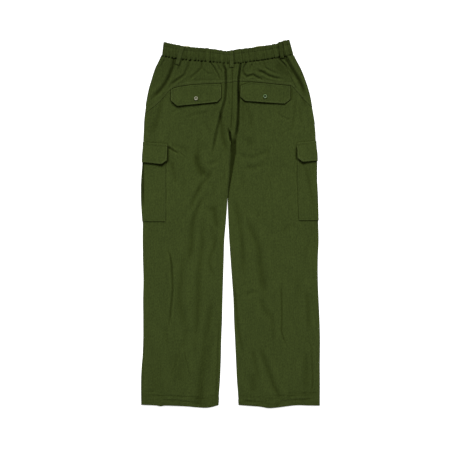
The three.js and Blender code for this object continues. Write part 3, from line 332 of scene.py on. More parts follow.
BACK_FOLD_ROWS = [
    # name, depth, width, brow, colour (painted shade in the fold), path
    ("seat_left", (8, 2.4), (2.9, 3.8), 0.12, (0.66, 0.5), -25.1, 480.7, -23.3, 467.6, -14.1, 444.4,
     -12.3, 415.4, -12.9, 386.4, -15.2, 357.4, -26, 321.2, -32.9, 292.2, -39.9, 266.7, -46.8, 228.4,
     -55.8, 193.6),
    ("seat_left_inner", (1.6, 1.6), (5, 7), 0.1, (0.4, 0.3), -28.6, 329.9, -26.8, 289.3, -22.2, 254.5,
     -12.9, 211),
    ("seat_right", (10, 7), (2.3, 3.8), 0.12, (0.95, 0.85), 31.8, 483.6, 30.6, 467.6, 28, 447.9,
     23.9, 415.4, 23.3, 386.4, 24.5, 357.4, 23.3, 321.2, 21.6, 284.9, 17.3, 257.4, 12, 232.7),
    ("seat_right_fork", (3, 1.6), (2.2, 2.6), 0.15, (0.55, 0.3), 53.8, 480.7, 48, 469.1, 38.7, 451.7,
     37, 440.1, 41, 431.4),
    ("seat_right_wing", (1.2, 1), (7, 9), 0.05, (0.2, 0.16), 33.5, 364.7, 48, 335.7, 58.7, 306.7,
     62.5, 271.9),
    ("seat_right_soft", (0.8, 0.8), (7, 8), 0, (0.2, 0.16), 34.1, 353.1, 37, 289.3),
    ("centre_left", (1.2, 1), (3, 3.4), 0.1, (0.22, 0.15), -5.4, 405.3, -3, 335.7),
    ("hip_left", (5.5, 2.4), (4.6, 4.8), 0.2, (0.8, 0.7), -161.4, 496.6, -163.7, 477.8, -168.1, 451.1,
     -176.8, 428.5, -188.4, 406.4, -202.6, 387.3, -218.2, 372.2, -228.7, 361.8),
    ("hip_left_side", (2, 1.4), (2.4, 3), 0.3, (0.3, 0.12), -190.4, 476.3, -203.1, 453.1),
    ("hip_left_low", (1, 1.4), (6, 9), 0.1, (0.2, 0.3), -189.5, 385, -200.8, 350.2, -205.8, 321.2,
     -213, 292.2, -224, 269),
    ("hip_left_cloud", (0.3, 0.3), (14, 14), 0, (0.14, 0.16), -226.9, 347.3, -229.8, 254.5),
    ("yoke_right_cloud", (0.4, 0.4), (16, 14), 0, (0.36, 0.12), 132.7, 466.2, 176.2, 425.6),
    ("hip_right", (6, 2.4), (3.4, 6), 0.2, (0.85, 0.75), 153.6, 499.5, 160.5, 484.2, 170.4, 463.3,
     184.9, 438, 200.5, 414, 208.9, 396.6, 216.2, 371.6),
    ("hip_right_low", (1.2, 1), (3.4, 4), 0.2, (0.3, 0.16), 206.9, 369.3, 219.7, 334.2),
    ("hip_right_soft", (1.2, 1), (4, 4.6), 0.15, (0.2, 0.14), 189.2, 361.8, 185.7, 321.2, 182, 284.9,
     171.2, 260.3),
    ("hip_right_middle", (1, 0.8), (3, 3.6), 0.25, (0.14, 0.08), 200.2, 341.5, 207.5, 280.6),
    ("yoke_left_one", (2.2, 1.4), (2.2, 2.6), 0.3, (0.3, 0.2), -135.3, 486.5, -138.8, 472,
     -145.7, 457.5, -152.7, 444.4),
    ("yoke_left_two", (2.4, 2.2), (3, 3.8), 0.35, (0.26, 0.24), -110.9, 489.4, -115.6, 474,
     -123.7, 451.1, -133.5, 429.9, -150.4, 417.7, -166, 408.2, -176.8, 395.4),
    ("yoke_left_three", (2.4, 1.2), (2.4, 3.8), 0.25, (0.46, 0.12), -80.8, 486.5, -82.5, 470.5,
     -83.7, 449.9, -97.6, 437.2, -112.7, 423.8, -125.4, 416.9),
    ("yoke_left_four", (1, 0.9), (3, 3.4), 0.2, (0.12, 0.1), -79, 447.9, -64.5, 434, -50, 435.4),
    ("yoke_left_five", (2.6, 2), (1.9, 2.2), 0.35, (0.42, 0.28), -68.6, 483.6, -58.1, 467.6,
     -46.3, 451.7, -36.1, 432.8, -29.1, 414),
    ("yoke_left_six", (1.4, 1.2), (1.8, 2), 0.3, (0.22, 0.16), -44.8, 470.5, -35.5, 456, -22.2, 434.3),
    ("yoke_left_edge", (0.4, 0.4), (2.4, 2.4), 0.2, (0.05, 0.05), -131.2, 416, -26.8, 416.9),
    ("yoke_right_wave", (2.8, 2), (3.2, 3.2), 0.4, (0.4, 0.26), 35.8, 437.8, 47.4, 425.3, 66, 430.5,
     79.3, 422.7, 93.8, 418),
    ("yoke_right_outer", (3, 1.8), (3.6, 3.2), 0.4, (0.4, 0.2), 77, 444.7, 97.9, 436.3, 112.4, 427.3,
     130.4, 422.1, 151.2, 418.6),
    ("yoke_right_round", (1.8, 1), (2.6, 3), 0.3, (0.2, 0.1), 93.2, 483.6, 96.7, 469.7, 100.8, 451.7,
     119.3, 442.1, 137, 436),
    ("yoke_right_long", (0.7, 0.5), (1.6, 1.6), 0.2, (0.3, 0.2), 155.9, 466.2, 173.3, 428.5,
     196.5, 382.1),
    ("yoke_right_high", (1.8, 1.2), (2.4, 2.8), 0.3, (0.6, 0.3), 125.7, 487.9, 139.1, 478.9,
     158.8, 461, 177.3, 438.3, 183.1, 422.7),
    ("yoke_right_tuck", (2, 2), (3.4, 3.4), 0, (0.35, 0.35), 151.2, 478.9, 164.6, 469.1),
    ("yoke_right_first", (1.4, 1), (2.2, 2.4), 0.2, (0.3, 0.1), 70.6, 483.6, 66, 469.1, 60.2, 453.1),
    ("yoke_right_second", (1.4, 1), (2, 2.2), 0.2, (0.16, 0.1), 81.1, 483.6, 83.4, 469.1, 87.7, 456),
    ("under_flap_left", (0.9, 0.8), (4, 4), 0.2, (0.08, 0.08), -129.8, 306.7, -100.8, 317.4,
     -71.8, 321.2, -56.4, 331.9),
    ("under_flap_left_outer", (0.8, 0.8), (3.6, 3.6), 0.1, (0.1, 0.06), -166, 325.5, -145.7, 332.8),
    ("seat_left_soft", (0.9, 0.8), (5, 5), 0.1, (0.1, 0.08), -79, 298, -57.3, 260.3),
    ("under_flap_right", (1, 0.9), (3, 3), 0.25, (0.1, 0.12), 129.8, 327, 149.5, 310.2, 178.5, 299.1),
    ("under_flap_right_low", (0.8, 0.8), (3, 3), 0.2, (0.1, 0.08), 147.2, 257.4, 168.9, 271.9),
    ("crotch_left", (3, 6), (2.4, 2.6), 0.15, (0.5, 1), -7.7, 279.1, -2.5, 263.2, 1.6, 237.1),
    ("drag_left", (3.2, 2), (2.9, 2.6), 0.25, (1, 0.6), -184, 226.1, -170.1, 215.6, -149.8, 203.4),
    ("drag_left_second", (1.2, 0.8), (1.7, 1.8), 0.5, (0.2, 0.1), -155.9, 215, -141.4, 203.4,
     -122.5, 184.9),
    ("drag_left_above", (1, 0.7), (7.8, 9.3), 0.05, (0.14, 0.085), -173.3, 226.1, -145.7, 220.3,
     -113.8, 209.5),
    ("beside_pocket_left", (1, 0.8), (7.1, 6.2), 0.1, (0.28, 0.16), -170.1, 184.9, -165.4, 155.9,
     -156.2, 112.4),
    ("beside_pocket_low", (0.5, 0.5), (7.8, 9.3), 0.1, (0.06, 0.043), -139.9, 173.3, -135.6, 80.5),
    ("thigh_left_top", (0.9, 1.2), (5.3, 7.1), 0.1, (0.12, 0.19), -91.2, 254.5, -94.1, 219.7,
     -97.6, 190.7),
    ("thigh_left_branch", (0.8, 0.8), (7.8, 7.8), 0.05, (0.12, 0.12), -77.3, 237.1, -86, 208.1),
    ("thigh_left_patch", (0.9, 0.9), (10, 9), 0.08, (0.3, 0.26), -98.2, 199.4, -94.7, 176.2,
     -83.4, 155.9, -69.2, 144.3),
    ("thigh_left_notch", (1.2, 1), (5.6, 6.2), 0.15, (0.15, 0.12), -77.6, 142, -64.5, 138.5,
     -51.2, 154.4),
    ("thigh_left_whisker", (1.2, 1), (6.2, 5.6), 0.2, (0.15, 0.1), -68.9, 170.7, -52.9, 175.9,
     -34.1, 182.8),
    ("thigh_left_upper", (1.4, 1.4), (6, 6), 0.15, (0.16, 0.3), -51.5, 145.7, -67.4, 128.3,
     -80.5, 118.2, -94.7, 95),
    ("thigh_left_diagonal", (1.8, 1.4), (6, 6), 0.2, (0.36, 0.28), -86.6, 107.7, -97.3, 87.4,
     -108.9, 64.2, -114.4, 42.5),
    ("thigh_left", (1.6, 1.6), (5, 12), 0.12, (0.3, 0.34), -70.3, 78.2, -86.3, 61.6, -100.5, 33.2,
     -109.2, 4.2, -110.9, -24.8, -112.1, -64.5, -122.5, -110.9),
    ("thigh_left_arc", (0.8, 0.7), (5.6, 5.6), 0.1, (0.11, 0.09), -73.2, 118.2, -51.5, 110.6,
     -45.4, 93.5, -52.3, 71.8),
    ("knee_left_hook", (0.8, 0.8), (5.3, 5.9), 0.1, (0.24, 0.14), -74.4, 47.1, -58.7, 41.3,
     -47.7, 45.4),
    ("knee_left", (1.2, 1.2), (9.5, 7), 0.15, (0.36, 0.36), -48.3, 52.6, -44.2, 22.5, -38.4, -12.3),
    ("knee_left_low", (1, 1), (5.5, 5), 0.25, (0.2, 0.24), -45.4, -23.9, -42.5, -52.9, -48.9, -76.1,
     -59.6, -96.4, -61.6, -116.7, -52.9, -138.8, -44.2, -154.4),
    ("knee_left_middle", (1.1, 1.4), (8, 11), 0.2, (0.24, 0.3), -80.5, 5.1, -82.5, -64.5,
     -87.7, -110.9, -92.4, -151.5, -92.4, -192.1, -94.1, -238.5, -97.6, -308.1),
    ("shin_left_middle", (1.1, 0.7), (8, 8), 0.15, (0.16, 0.1), -95.3, -273.3, -99.6, -327.3,
     -102.2, -383.5),
    ("knee_left_outer", (0.9, 1.3), (9.5, 12), 0.1, (0.16, 0.26), -133, -76.1, -137, -110.9,
     -141.7, -154.4, -148.9, -206.6, -144, -244.3, -135.3, -279.1, -125.4, -308.1),
    ("shin_left_fork", (0.8, 0.8), (8, 8), 0.1, (0.12, 0.1), -124, -302.3, -131.2, -337.1,
     -143.4, -366.1),
    ("shin_left_crease", (2.6, 1.8), (2.7, 2.5), 0.35, (0.64, 0.52), -184.6, -70.3, -174.7, -90.6,
     -170.1, -119.6, -167.8, -163.1, -166.9, -192.1, -170.1, -224, -174.4, -269.3, -179.4, -299.4),
    ("shin_left_after", (0.8, 0.7), (7, 7), 0.1, (0.14, 0.12), -186.3, -299.4, -188.6, -316.8,
     -183.4, -351.6),
    ("shin_left_vee_one", (1.1, 1), (2, 2), 0.25, (0.28, 0.22), -135.6, -366.1, -125.4, -406.7,
     -113.2, -447.3),
    ("shin_left_vee_two", (0.8, 0.8), (2.6, 2.6), 0.15, (0.16, 0.12), -144.6, -371.9, -158.5, -403.8,
     -171.8, -441.5),
    ("shin_left_inner", (0.8, 0.8), (9, 9), 0.1, (0.12, 0.1), -52.9, -226.9, -59.9, -279.1,
     -65.7, -331.3),
    ("shin_left_low", (1.3, 2), (8, 15), 0.12, (0.1, 0.4), -54.4, -221.1, -64.5, -279.1, -73.8, -337.1,
     -79, -383.5, -83.1, -435.7, -86, -482.1, -87.7, -545.9),
    ("shin_left_low_inner", (0.7, 0.7), (9, 11), 0.1, (0.16, 0.18), -54.1, -325.5, -62.8, -383.5,
     -66.3, -429.9),
    ("shin_left_outer", (0.6, 0.7), (16, 22), 0, (0.1, 0.18), -226.9, -400.9, -209.5, -487.9),
    ("shin_left_streak", (0.6, 0.6), (6.2, 7.8), 0.1, (0.085, 0.085), -208.4, -371.9, -200.8, -447.3),
    ("hem_left_one", (1.2, 0.8), (1.6, 1.6), 0.3, (0.42, 0.34), -250.7, -487.9, -226.9, -486.2,
     -209.5, -488.8, -186.3, -493.7),
    ("hem_left_two", (1.2, 1.4), (1.8, 2.2), 0.3, (0.3, 0.5), -197.9, -510, -145.7, -513.4,
     -105.1, -518.7, -81.9, -520.4),
    ("hem_left_pit", (1.2, 1.2), (11, 11), 0, (0.14, 0.14), -99.3, -505.3, -84.8, -518.7),
    ("thigh_right", (1.3, 1), (6.8, 6.2), 0.1, (0.1, 0.06), 113.5, 210.4, 86.3, 199.4, 67.1, 190.7,
     42.8, 194.2, 23.6, 199.4),
    ("thigh_right_side", (1, 0.8), (7.1, 7.8), 0.05, (0.12, 0.1), 108.3, 218.2, 105.4, 179.1),
    ("thigh_right_patch", (1.6, 1.2), (8.7, 7.1), 0.08, (0.14, 0.1), 48.6, 164.9, 66, 160.2,
     83.4, 167.2, 99.3, 177.6),
    ("thigh_right_low", (1, 1), (6.2, 6.2), 0.1, (0.07, 0.07), 35.5, 154.4, 56.7, 164.6),
    ("thigh_right_soft", (0.6, 0.6), (7.8, 7.8), 0.05, (0.1, 0.1), 34.1, 147.2, 38.7, 106.6),
    ("thigh_right_cloud", (0.7, 0.7), (16, 16), 0, (0.14, 0.14), 51.5, 251.6, 61.3, 225.5),
    ("thigh_right_line", (0.7, 0.6), (1.8, 1.8), 0.3, (0.12, 0.1), 111.2, 150.1, 115, 115.3,
     125.7, 71.8),
    ("knee_right_inner", (1.4, 1.2), (6.5, 8), 0.15, (0.26, 0.24), 13.8, 61.6, 19, 29.7, 30.6, -17.5,
     34.9, -55.8, 37, -96.4, 39, -145.7),
    ("knee_right_band", (1.2, 1), (8, 8), 0.1, (0.14, 0.1), 16.7, 66, 28.3, 34.1, 35.2, -6.5),
    ("knee_right", (1.6, 2.2), (8.5, 13), 0.15, (0.22, 0.34), 45.7, 21, 58.4, -13.8, 72.4, -40.2,
     82.8, -71.8, 86.3, -108, 89.5, -145.7, 95.8, -177.6, 100.8, -206.6),
    ("shin_right_break", (1.6, 1.3), (8.5, 8.5), 0.2, (0.24, 0.2), 89.2, -218.2, 99.6, -248.4,
     113.5, -273.3),
    ("shin_right_after", (0.9, 0.8), (7, 5), 0.2, (0.2, 0.12), 115.3, -255.9, 122.8, -284.9,
     125.1, -342.9),
    ("shin_right_whisker", (1.5, 1.2), (5.9, 5), 0.25, (0.17, 0.1), 44.5, -204.9, 60.2, -200.2,
     81.6, -198.5),
    ("shin_right_whisker_low", (0.8, 0.7), (4.7, 4.7), 0.2, (0.1, 0.085), 32.9, -176.2, 51.5, -173.3),
    ("shin_right_crease", (1.3, 1.4), (2.6, 2.6), 0.25, (0.44, 0.42), 147.8, -174.7, 149.2, -226.9,
     149.5, -269.3, 148.3, -313.9, 155.6, -335.4, 166.9, -357.4),
    ("shin_right_side", (1.1, 0.9), (7, 7), 0.1, (0.26, 0.24), 221.4, -195, 225.5, -247.2,
     227.8, -308.1),
    ("shin_right_side_two", (0.8, 0.8), (2.6, 2.6), 0.1, (0.2, 0.14), 235.9, -203.7, 238.2, -241.4),
    ("shin_right_hook", (1, 1.6), (2, 2.6), 0.25, (0.16, 0.5), 203.4, -334.8, 227.2, -343.5,
     236.2, -360.3, 236.5, -398, 238.5, -435.7, 238.2, -472.3, 231.3, -492.6),
    ("shin_right_cloud", (0.9, 1.2), (8, 13), 0, (0.16, 0.24), 218.2, -371.9, 221.1, -482.1),
    ("shin_right_low", (1.5, 1.6), (8, 8), 0.3, (0.26, 0.34), 84.8, -358, 95.8, -387, 105.7, -414.8,
     118.2, -447.9, 127.2, -474, 141.1, -497.2, 147.8, -515.8),
    ("shin_right_inner", (1, 0.9), (8, 6.5), 0.1, (0.26, 0.18), 64.2, -363.2, 70.6, -398, 77.3, -427,
     85.7, -453.1),
    ("shin_right_inner_low", (1, 1), (12, 13), 0.05, (0.2, 0.24), 65.4, -429.9, 66.6, -490.8),
    ("inseam_right", (1.3, 1), (3.6, 4.4), 0.1, (0.5, 0.2), 11.5, -174.7, 14.9, -221.1, 19.3, -267.5,
     22.5, -296.5, 30.6, -343.8, 38.7, -383.5),
    ("knee_right_patch", (0.7, 0.7), (7.8, 7.8), 0, (0.1, 0.1), 70.3, 39.9, 86.3, 19.6),
    ("knee_right_outer", (0.8, 0.8), (9.3, 7.8), 0, (0.1, 0.085), 147.2, -23.9, 167.5, -12.3,
     187.8, -0.7),
    ("knee_right_side", (0.8, 0.8), (5.6, 6.2), 0.1, (0.1, 0.085), 231.3, -47.1, 220.8, -76.1,
     218.5, -110.9),
    ("hem_right_one", (1.2, 1.8), (1.6, 2), 0.3, (0.34, 0.7), 161.7, -491.1, 202.3, -492.3,
     225.5, -488.8, 252.7, -490.5),
    ("hem_right_two", (1.2, 1.4), (1.7, 2), 0.3, (0.3, 0.5), 145.7, -514.6, 190.7, -510, 240, -508.2),
    ("hem_right_three", (1.2, 1), (2, 2), 0.2, (0.44, 0.3), 38.7, -514, 63.1, -514.6, 89.2, -515.8),
    ("crotch_pit", (3, 3), (3.4, 2.4), 0, (0.7, 1), -1.3, 269, 0.7, 238.5),
    ("seat_right_tail", (1.2, 0.8), (3, 3), 0.1, (0.3, 0.1), 63.1, 463.3, 55.5, 445.9),
    ("seat_right_deep", (2, 2), (3.4, 3.4), 0, (0.34, 0.3), 24.2, 387.9, 23.9, 347.3),
    ("yoke_left_cloud", (0.3, 0.3), (9, 10), 0, (0.1, 0.1), -171.8, 466.2, -203.7, 405.3),
    ("shin_left_cloud", (0.4, 0.4), (26, 30), 0, (0.1, 0.14), -157.3, -371.9, -145.7, -464.7),
    ("knee_left_cloud", (0.4, 0.4), (9, 9), 0, (0.1, 0.12), -52.9, -3.6, -47.1, -76.1),
    ("shin_left_edge", (0.2, 0.2), (1.8, 2), 0, (0.3, 0.4), -248.4, -331.3, -252.4, -400.9,
     -254.8, -511.1),
    ("shin_left_inseam", (0.3, 0.3), (2.6, 3.2), 0, (0.3, 0.34), -32.6, -273.3, -36.7, -383.5,
     -41.3, -511.1),
    ("knee_right_cloud", (0.3, 0.3), (14, 14), 0, (0.1, 0.1), 190.7, -148.6, 202.3, -221.1),
    ("hem_left_three", (0.5, 0.5), (1.8, 1.8), 0.2, (0.22, 0.12), -209.5, -486.8, -128.3, -489.7,
     -47.1, -487.9),
    ("hem_left_four", (0.5, 0.5), (1.8, 1.8), 0.2, (0.16, 0.2), -250.1, -500.7, -174.7, -498.4,
     -87.7, -503.6),
    ("hem_right_four", (0.5, 0.5), (1.8, 1.8), 0.2, (0.16, 0.3), 92.1, -499.5, 173.3, -497.8,
     248.7, -495.5),
    ("thigh_left_deep", (0.3, 0.3), (12, 15), 0, (0.22, 0.3), -94.7, 208.1, -98.2, 179.1, -89.2, 155.9,
     -73.2, 137),
    ("centre_soft", (0.3, 0.3), (9, 9), 0, (0.1, 0.1), -18.1, 306.7, -9.4, 213.9),
    ("flap_right_side", (0.3, 0.3), (1.8, 2.4), 0, (0.5, 0.3), 178.2, 393.7, 179.7, 376.3, 178.5, 356),
    ("yoke_right_fan", (0.6, 0.4), (2, 1.6), 0.2, (0.42, 0.1), 141.4, 482.1, 150.1, 470.2,
     161.7, 457.5),
]
# The front lies on the floor, so its folds are shallow and rise into the leg.
FRONT_FOLD_ROWS = [
    # name, depth, width, brow, path
    ("front_thigh_left", (1.2, 0.8), (9, 10), 0, -70, 140, -118, 20, -126, -60),
    ("front_knee_left", (1, 0.8), (7, 8), 0, -178, -90, -160, -210),
    ("front_shin_left", (1, 1), (9, 10), 0, -96, -300, -110, -470),
    ("front_thigh_right", (1.1, 0.9), (9, 9), 0, 60, 130, 98, 10, 112, -90),
    ("front_knee_right", (0.9, 0.8), (8, 8), 0, 172, -120, 158, -250),
    ("front_shin_right", (1, 1), (9, 9), 0, 108, -330, 126, -480),
    ("front_hip_left", (0.8, 0.5), (8, 9), 0, -60, 330, -110, 285),
    ("front_hip_right", (0.8, 0.5), (8, 9), 0, 70, 320, 118, 282),
]
FOLDS = [fold(*row) for row in BACK_FOLD_ROWS]
FRONT_FOLDS = [fold(*row[:4], (0, 0), *row[4:]) for row in FRONT_FOLD_ROWS]


def nearest_on(path, x, y):
    """Distance from each point to a path, and the share of the path's length where it is nearest."""
    run = path[1:] - path[:-1]
    length = np.hypot(run[:, 0], run[:, 1])
    start = np.concatenate([[0], np.cumsum(length)[:-1]])
    best, at = np.full(x.shape, np.inf), np.zeros(x.shape)
    for (ax, ay), (rx, ry), long, before in zip(path[:-1], run, length, start):
        s = np.clip(((x - ax) * rx + (y - ay) * ry) / long, 0, long)
        d = np.hypot(x - ax - s * rx / long, y - ay - s * ry / long)
        nearer = d < best
        best = np.where(nearer, d, best)
        at = np.where(nearer, (before + s) / length.sum(), at)
    return best, at


def over_folds(folds, x, y, value):
    """The sum of value(fold, distance, place) over all folds, each worked out only near its path. A
    fold fades to a fifth over the first and the last sixth of its path."""
    x, y = np.broadcast_arrays(np.asarray(x, float), np.asarray(y, float))
    total = np.zeros(x.shape)
    for fold in folds:
        reach = 4.2 * max(fold.width)
        (low_x, low_y), (high_x, high_y) = fold.path.min(0) - reach, fold.path.max(0) + reach
        near = (x > low_x) & (x < high_x) & (y > low_y) & (y < high_y)
        if near.any():
            distance, at = nearest_on(fold.path, x[near], y[near])
            ends = 0.2 + 0.8 * smooth(at * 6) * smooth((1 - at) * 6)
            total[near] += value(fold, distance, at) * ends
    return total


def trough(fold, distance, at):
    """Depth of a fold: a bell, exp(-(distance / width)^2), less a low brow two widths away."""
    w = lerp(*fold.width, at)
    brow = fold.brow * bell((distance - 2.1 * w) / w)
    return lerp(*fold.depth, at) * (bell(distance / w) - brow)


def painted_fold_shade(fold, distance, at):
    """Painted shade of a fold: dark in its middle, with a faint painted highlight along both sides."""
    w = lerp(*fold.width, at)
    painted_highlight = 0.15 * bell((distance - 2.2 * w) / w)
    return lerp(*fold.colour, at) * (bell(distance / (0.85 * w)) - painted_highlight)


def ripple(x, y, seed, across, along, amount, waves=28):
    """Gentle unevenness: a sum of cosines in random directions, about across mm apart in X and
    along mm apart in Y, scaled so that it strays by about amount."""
    rng = np.random.default_rng(seed)
    total = np.zeros(np.broadcast(x, y).shape)
    for angle, size, phase in rng.uniform((0, 0.6, 0), (np.pi, 1.6, 2 * np.pi), (waves, 3)):
        kx = 2 * np.pi * np.cos(angle) / (across * size)
        ky = 2 * np.pi * np.sin(angle) / (along * size)
        total += np.cos(kx * x + ky * y + phase)
    return amount * total * np.sqrt(2 / waves)


print(len(FOLDS), "folds on the back,", len(FRONT_FOLDS), "on the front")


# %% Heights of the back and of the front
POCKET_BACK_WIDTH = {"left": 66.0, "right": 56.0}
POCKET_FRONT_WIDTH = {"left": 114.0, "right": 120.0}
CARGO_FLAP_EXTRA = 5.0
POCKET_BOTTOM_Y, POCKET_TOP_Y = {"left": 6.3, "right": 9.6}, 205.0


def parted(y):
    """0 over the crotch, 1 under it, where the centre seam has become two inseams."""
    return smooth((CROTCH_Y - y) / CROTCH_BLEND)


def from_edges(side, x, y):
    """1 inside a panel, and 0 close to an edge that rolls down, so that folds die out there."""
    out = smooth((from_side(side, x, y) - 3) / 8)
    inn = smooth((from_inner(side, x, y) - 3) / 8)
    return out * lerp(1, inn, parted(y))


def beside_pocket(side, x, y):
    """0 under a cargo pocket and its flap, 1 a little way from them."""
    gap = from_side(side, x, y) - POCKET_BACK_WIDTH[side] - CARGO_FLAP_EXTRA
    return np.maximum(smooth(gap / 8), smooth(np.maximum(-y, y - 246) / 14))


def front_height(side, x, y):
    """Height of the front's outer face: the underside, raised a little by its folds."""
    rise = np.maximum(over_folds(FRONT_FOLDS, x, y, trough), 0)
    uneven = 0.12 + ripple(x, y, 31, 26, 60, 0.05)
    return underside(x, y) + rise * from_edges(side, x, y) * beside_pocket(side, x, y) + uneven


def back_height(side, x, y):
    """Height of the back's outer face: the rest height, less its folds, never into the front."""
    folds = over_folds(FOLDS, x, y, trough)
    uneven = ripple(x, y, 11, 34, 90, 0.16) + ripple(x, y, 12, 12, 22, 0.035)
    height = rest_height(x, y) - (folds - uneven) * from_edges(side, x, y) * beside_pocket(side, x, y)
    return np.maximum(height, underside(x, y) + 2 * CLOTH + 0.5)


def turned(distance, reach):
    """How far a turned edge falls away: (1 - distance / reach)^2, 1 on the edge, 0 at its reach."""
    return (1 - clamp(distance / reach)) ** 2


def roll(distance, reach=EDGE_ROLL):
    """A quarter circle: how much of its rise the cloth has at a distance in from its edge."""
    return np.sqrt(1 - (1 - clamp(distance / reach)) ** 2)


def rolled(side, x, y, height, lay):
    """The cloth turns down to the outseam, and under the crotch to the inseam as well."""
    s = SIGN[side]
    out_z = underside(outer_x(side, y) - s * EDGE_ROLL, y) + LOFT / 2 + lay
    in_z = underside(inner_x(side, y) + s * EDGE_ROLL, y) + LOFT / 2 + lay
    out = 1 - roll(from_side(side, x, y))
    inn = (1 - roll(from_inner(side, x, y))) * parted(y)
    return height - (height - out_z) * out - (height - in_z) * inn


# %% [markdown]
# ## From a grid to cloth
#
# Every cloth piece is made the same way: numpy works out a grid of points, the grid becomes a mesh
# of quads, and a Solidify modifier gives it the cloth's thickness on its inner side. Each point
# also carries three painted values, so that the material can follow the piece: wear, high on turned
# edges where a garment fades first, and on the flaps' rims also a painted highlight; painted shade,
# dark in folds, grooves and dips and as painted shadows beside flaps, pockets and loops, and below
# zero a painted highlight; and a painted falloff of the light, brightest on the thighs and darker
# towards the hems and the waist, with a little random tone.


# %% Grid to mesh
made = {}


def grid(x, y, z):
    """An array of points from their X, Y and Z, each given as a row, a column or a whole grid."""
    return np.stack(np.broadcast_arrays(x, y, z), -1)


def area_of(points):
    """Area of a grid in square metres: half the cross product of each quad's diagonals."""
    a = points[1:, 1:] - points[:-1, :-1]
    b = points[1:, :-1] - points[:-1, 1:]
    return float(np.linalg.norm(np.cross(a, b), axis=2).sum() / 2 * MM * MM)


def mesh_from_grid(name, points, flip):
    """A mesh of quads from a (rows, columns, 3) grid in mm. flip turns its faces over."""
    rows, columns, _ = points.shape
    first = (np.arange(rows - 1)[:, None] * columns + np.arange(columns - 1)).ravel()
    quads = np.stack([first, first + 1, first + columns + 1, first + columns], 1)
    if flip:
        quads = quads[:, ::-1]
    mesh = bpy.data.meshes.new(name)
    mesh.vertices.add(rows * columns)
    mesh.vertices.foreach_set("co", (points * MM).ravel().astype(np.float32))
    mesh.loops.add(quads.size)
    mesh.loops.foreach_set("vertex_index", quads.ravel().astype(np.int32))
    mesh.polygons.add(len(quads))
    mesh.polygons.foreach_set("loop_start", np.arange(0, quads.size, 4, dtype=np.int32))
    mesh.polygons.foreach_set("use_smooth", np.ones(len(quads), bool))
    mesh.update(calc_edges=True)
    mesh.validate()
    return mesh


def paint(mesh, name, values):
    """Stores one number for each point, for the material to read."""
    layer = mesh.attributes.new(name, "FLOAT", "POINT")
    layer.data.foreach_set("value", np.asarray(values, np.float32).ravel())


def cloth(name, points, flip, thickness=CLOTH, wear_and_highlight=0.0, painted_shade=0.0, material=None, slot="olive_twill"):
    """A piece of cloth in the scene that stands for the CAD node of the same name."""
    mesh = mesh_from_grid(name, points, flip)
    # Three painted values: wear, which on flap rims is also a painted highlight; painted shade, with
    # painted highlights below 0; and the painted light falloff with a little random tone.
    paint(mesh, "wear_and_highlight", np.broadcast_to(wear_and_highlight, points.shape[:2]))
    paint(mesh, "painted_shade", np.broadcast_to(painted_shade, points.shape[:2]))
    paint(mesh, "painted_brightness", painted_falloff_and_tone(points[..., 0], points[..., 1]))
    piece = bpy.data.objects.new(name + "_cloth", mesh)
    bpy.context.scene.collection.objects.link(piece)
    wall = piece.modifiers.new("cloth", "SOLIDIFY")
    wall.thickness = thickness * MM
    wall.offset = -1
    mesh.materials.append(material)
    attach(piece, "root")
    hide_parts(name)
    made[name] = area_of(points)
    print(name, points.shape[:2], f"{made[name]:.4f} m2")


# Painted light falloff: a brightness along the garment, highest on the thighs, lower towards the hems
# and lowest round the waist.
LIGHT_FALLOFF = table(
    "y share",
    [
        (-540, 0.89), (-400, 0.94), (-260, 0.97), (-80, 1.0), (110, 1.03), (270, 0.985),
        (340, 0.97), (400, 0.94), (440, 0.88), (480, 0.8), (540, 0.78),
    ],
)


def painted_falloff_and_tone(x, y):
    """Painted light falloff, brightest on the thighs and darker towards the hems and round the waist,
    with a little random tone.
    """
    clouds = ripple(x, y, 21, 120, 260, 0.012)
    return np.interp(y, LIGHT_FALLOFF["y"], LIGHT_FALLOFF["share"]) + clouds + ripple(x, y, 22, 26, 60, 0.012)


def turned_edge(d, line=5.5, puff=0.3, groove=0.35):
    """Height change at a distance d from a turned and stitched edge: it falls away over the last
    millimetre, has a soft ridge behind that, and a groove where the stitches pull it down."""
    ridge = puff * beside(d, line / 2, line / 3.2)
    return ridge - 0.6 * turned(d, 0.9) - groove * beside(d, line, 0.9)


def edge_wear_and_highlight(d, reach=2.2):
    """A mask for wear, which on the flaps' rims is also a painted highlight: 1 on an edge, fading out
    within a few millimetres.
    """
    return bell(d / reach)


# %% [markdown]
# ## Finishes
#
# Cotton twill is a matt cloth with fine diagonal ribs, slightly uneven yarns that read as streaks
# along the warp, and paler edges where the dye has rubbed off; on the flaps' rims that paler colour
# is also a painted highlight. The ribs are finer than a pixel from far away, so colour and bump have
# a fine, a middle and a broad scale. A cloth scan would do as well, but a procedural weave needs no
# image and keeps its size on every panel. The weave is a node group, so that the twill, the pocket
# twill and the tape can share it with their own values.


# %% Node helpers
def new_node(tree, kind, inputs=None, **settings):
    """Adds a node with its plain settings. Each input gets its value, or a link from its socket."""
    node = tree.nodes.new(kind)
    for key, value in settings.items():
        setattr(node, key, value)
    for key, value in (inputs or {}).items():
        if isinstance(value, bpy.types.NodeSocket):
            tree.links.new(value, node.inputs[key])
        else:
            node.inputs[key].default_value = value
    return node


def new_group(name, inputs, outputs):
    """An empty node group. Inputs are (name, default value) and outputs are (name, socket type)."""
    tree = bpy.data.node_groups.new(name, "ShaderNodeTree")
    for label, default in inputs:
        socket = tree.interface.new_socket(label, in_out="INPUT", socket_type="NodeSocketFloat")
        socket.default_value = default
    for label, kind in outputs:
        tree.interface.new_socket(label, in_out="OUTPUT", socket_type=kind)
    return tree, tree.nodes.new("NodeGroupInput"), tree.nodes.new("NodeGroupOutput")


def maths(tree, operation, a, b):
    """A math node on two sockets or numbers."""
    return new_node(tree, "ShaderNodeMath", {0: a, 1: b}, operation=operation).outputs[0]


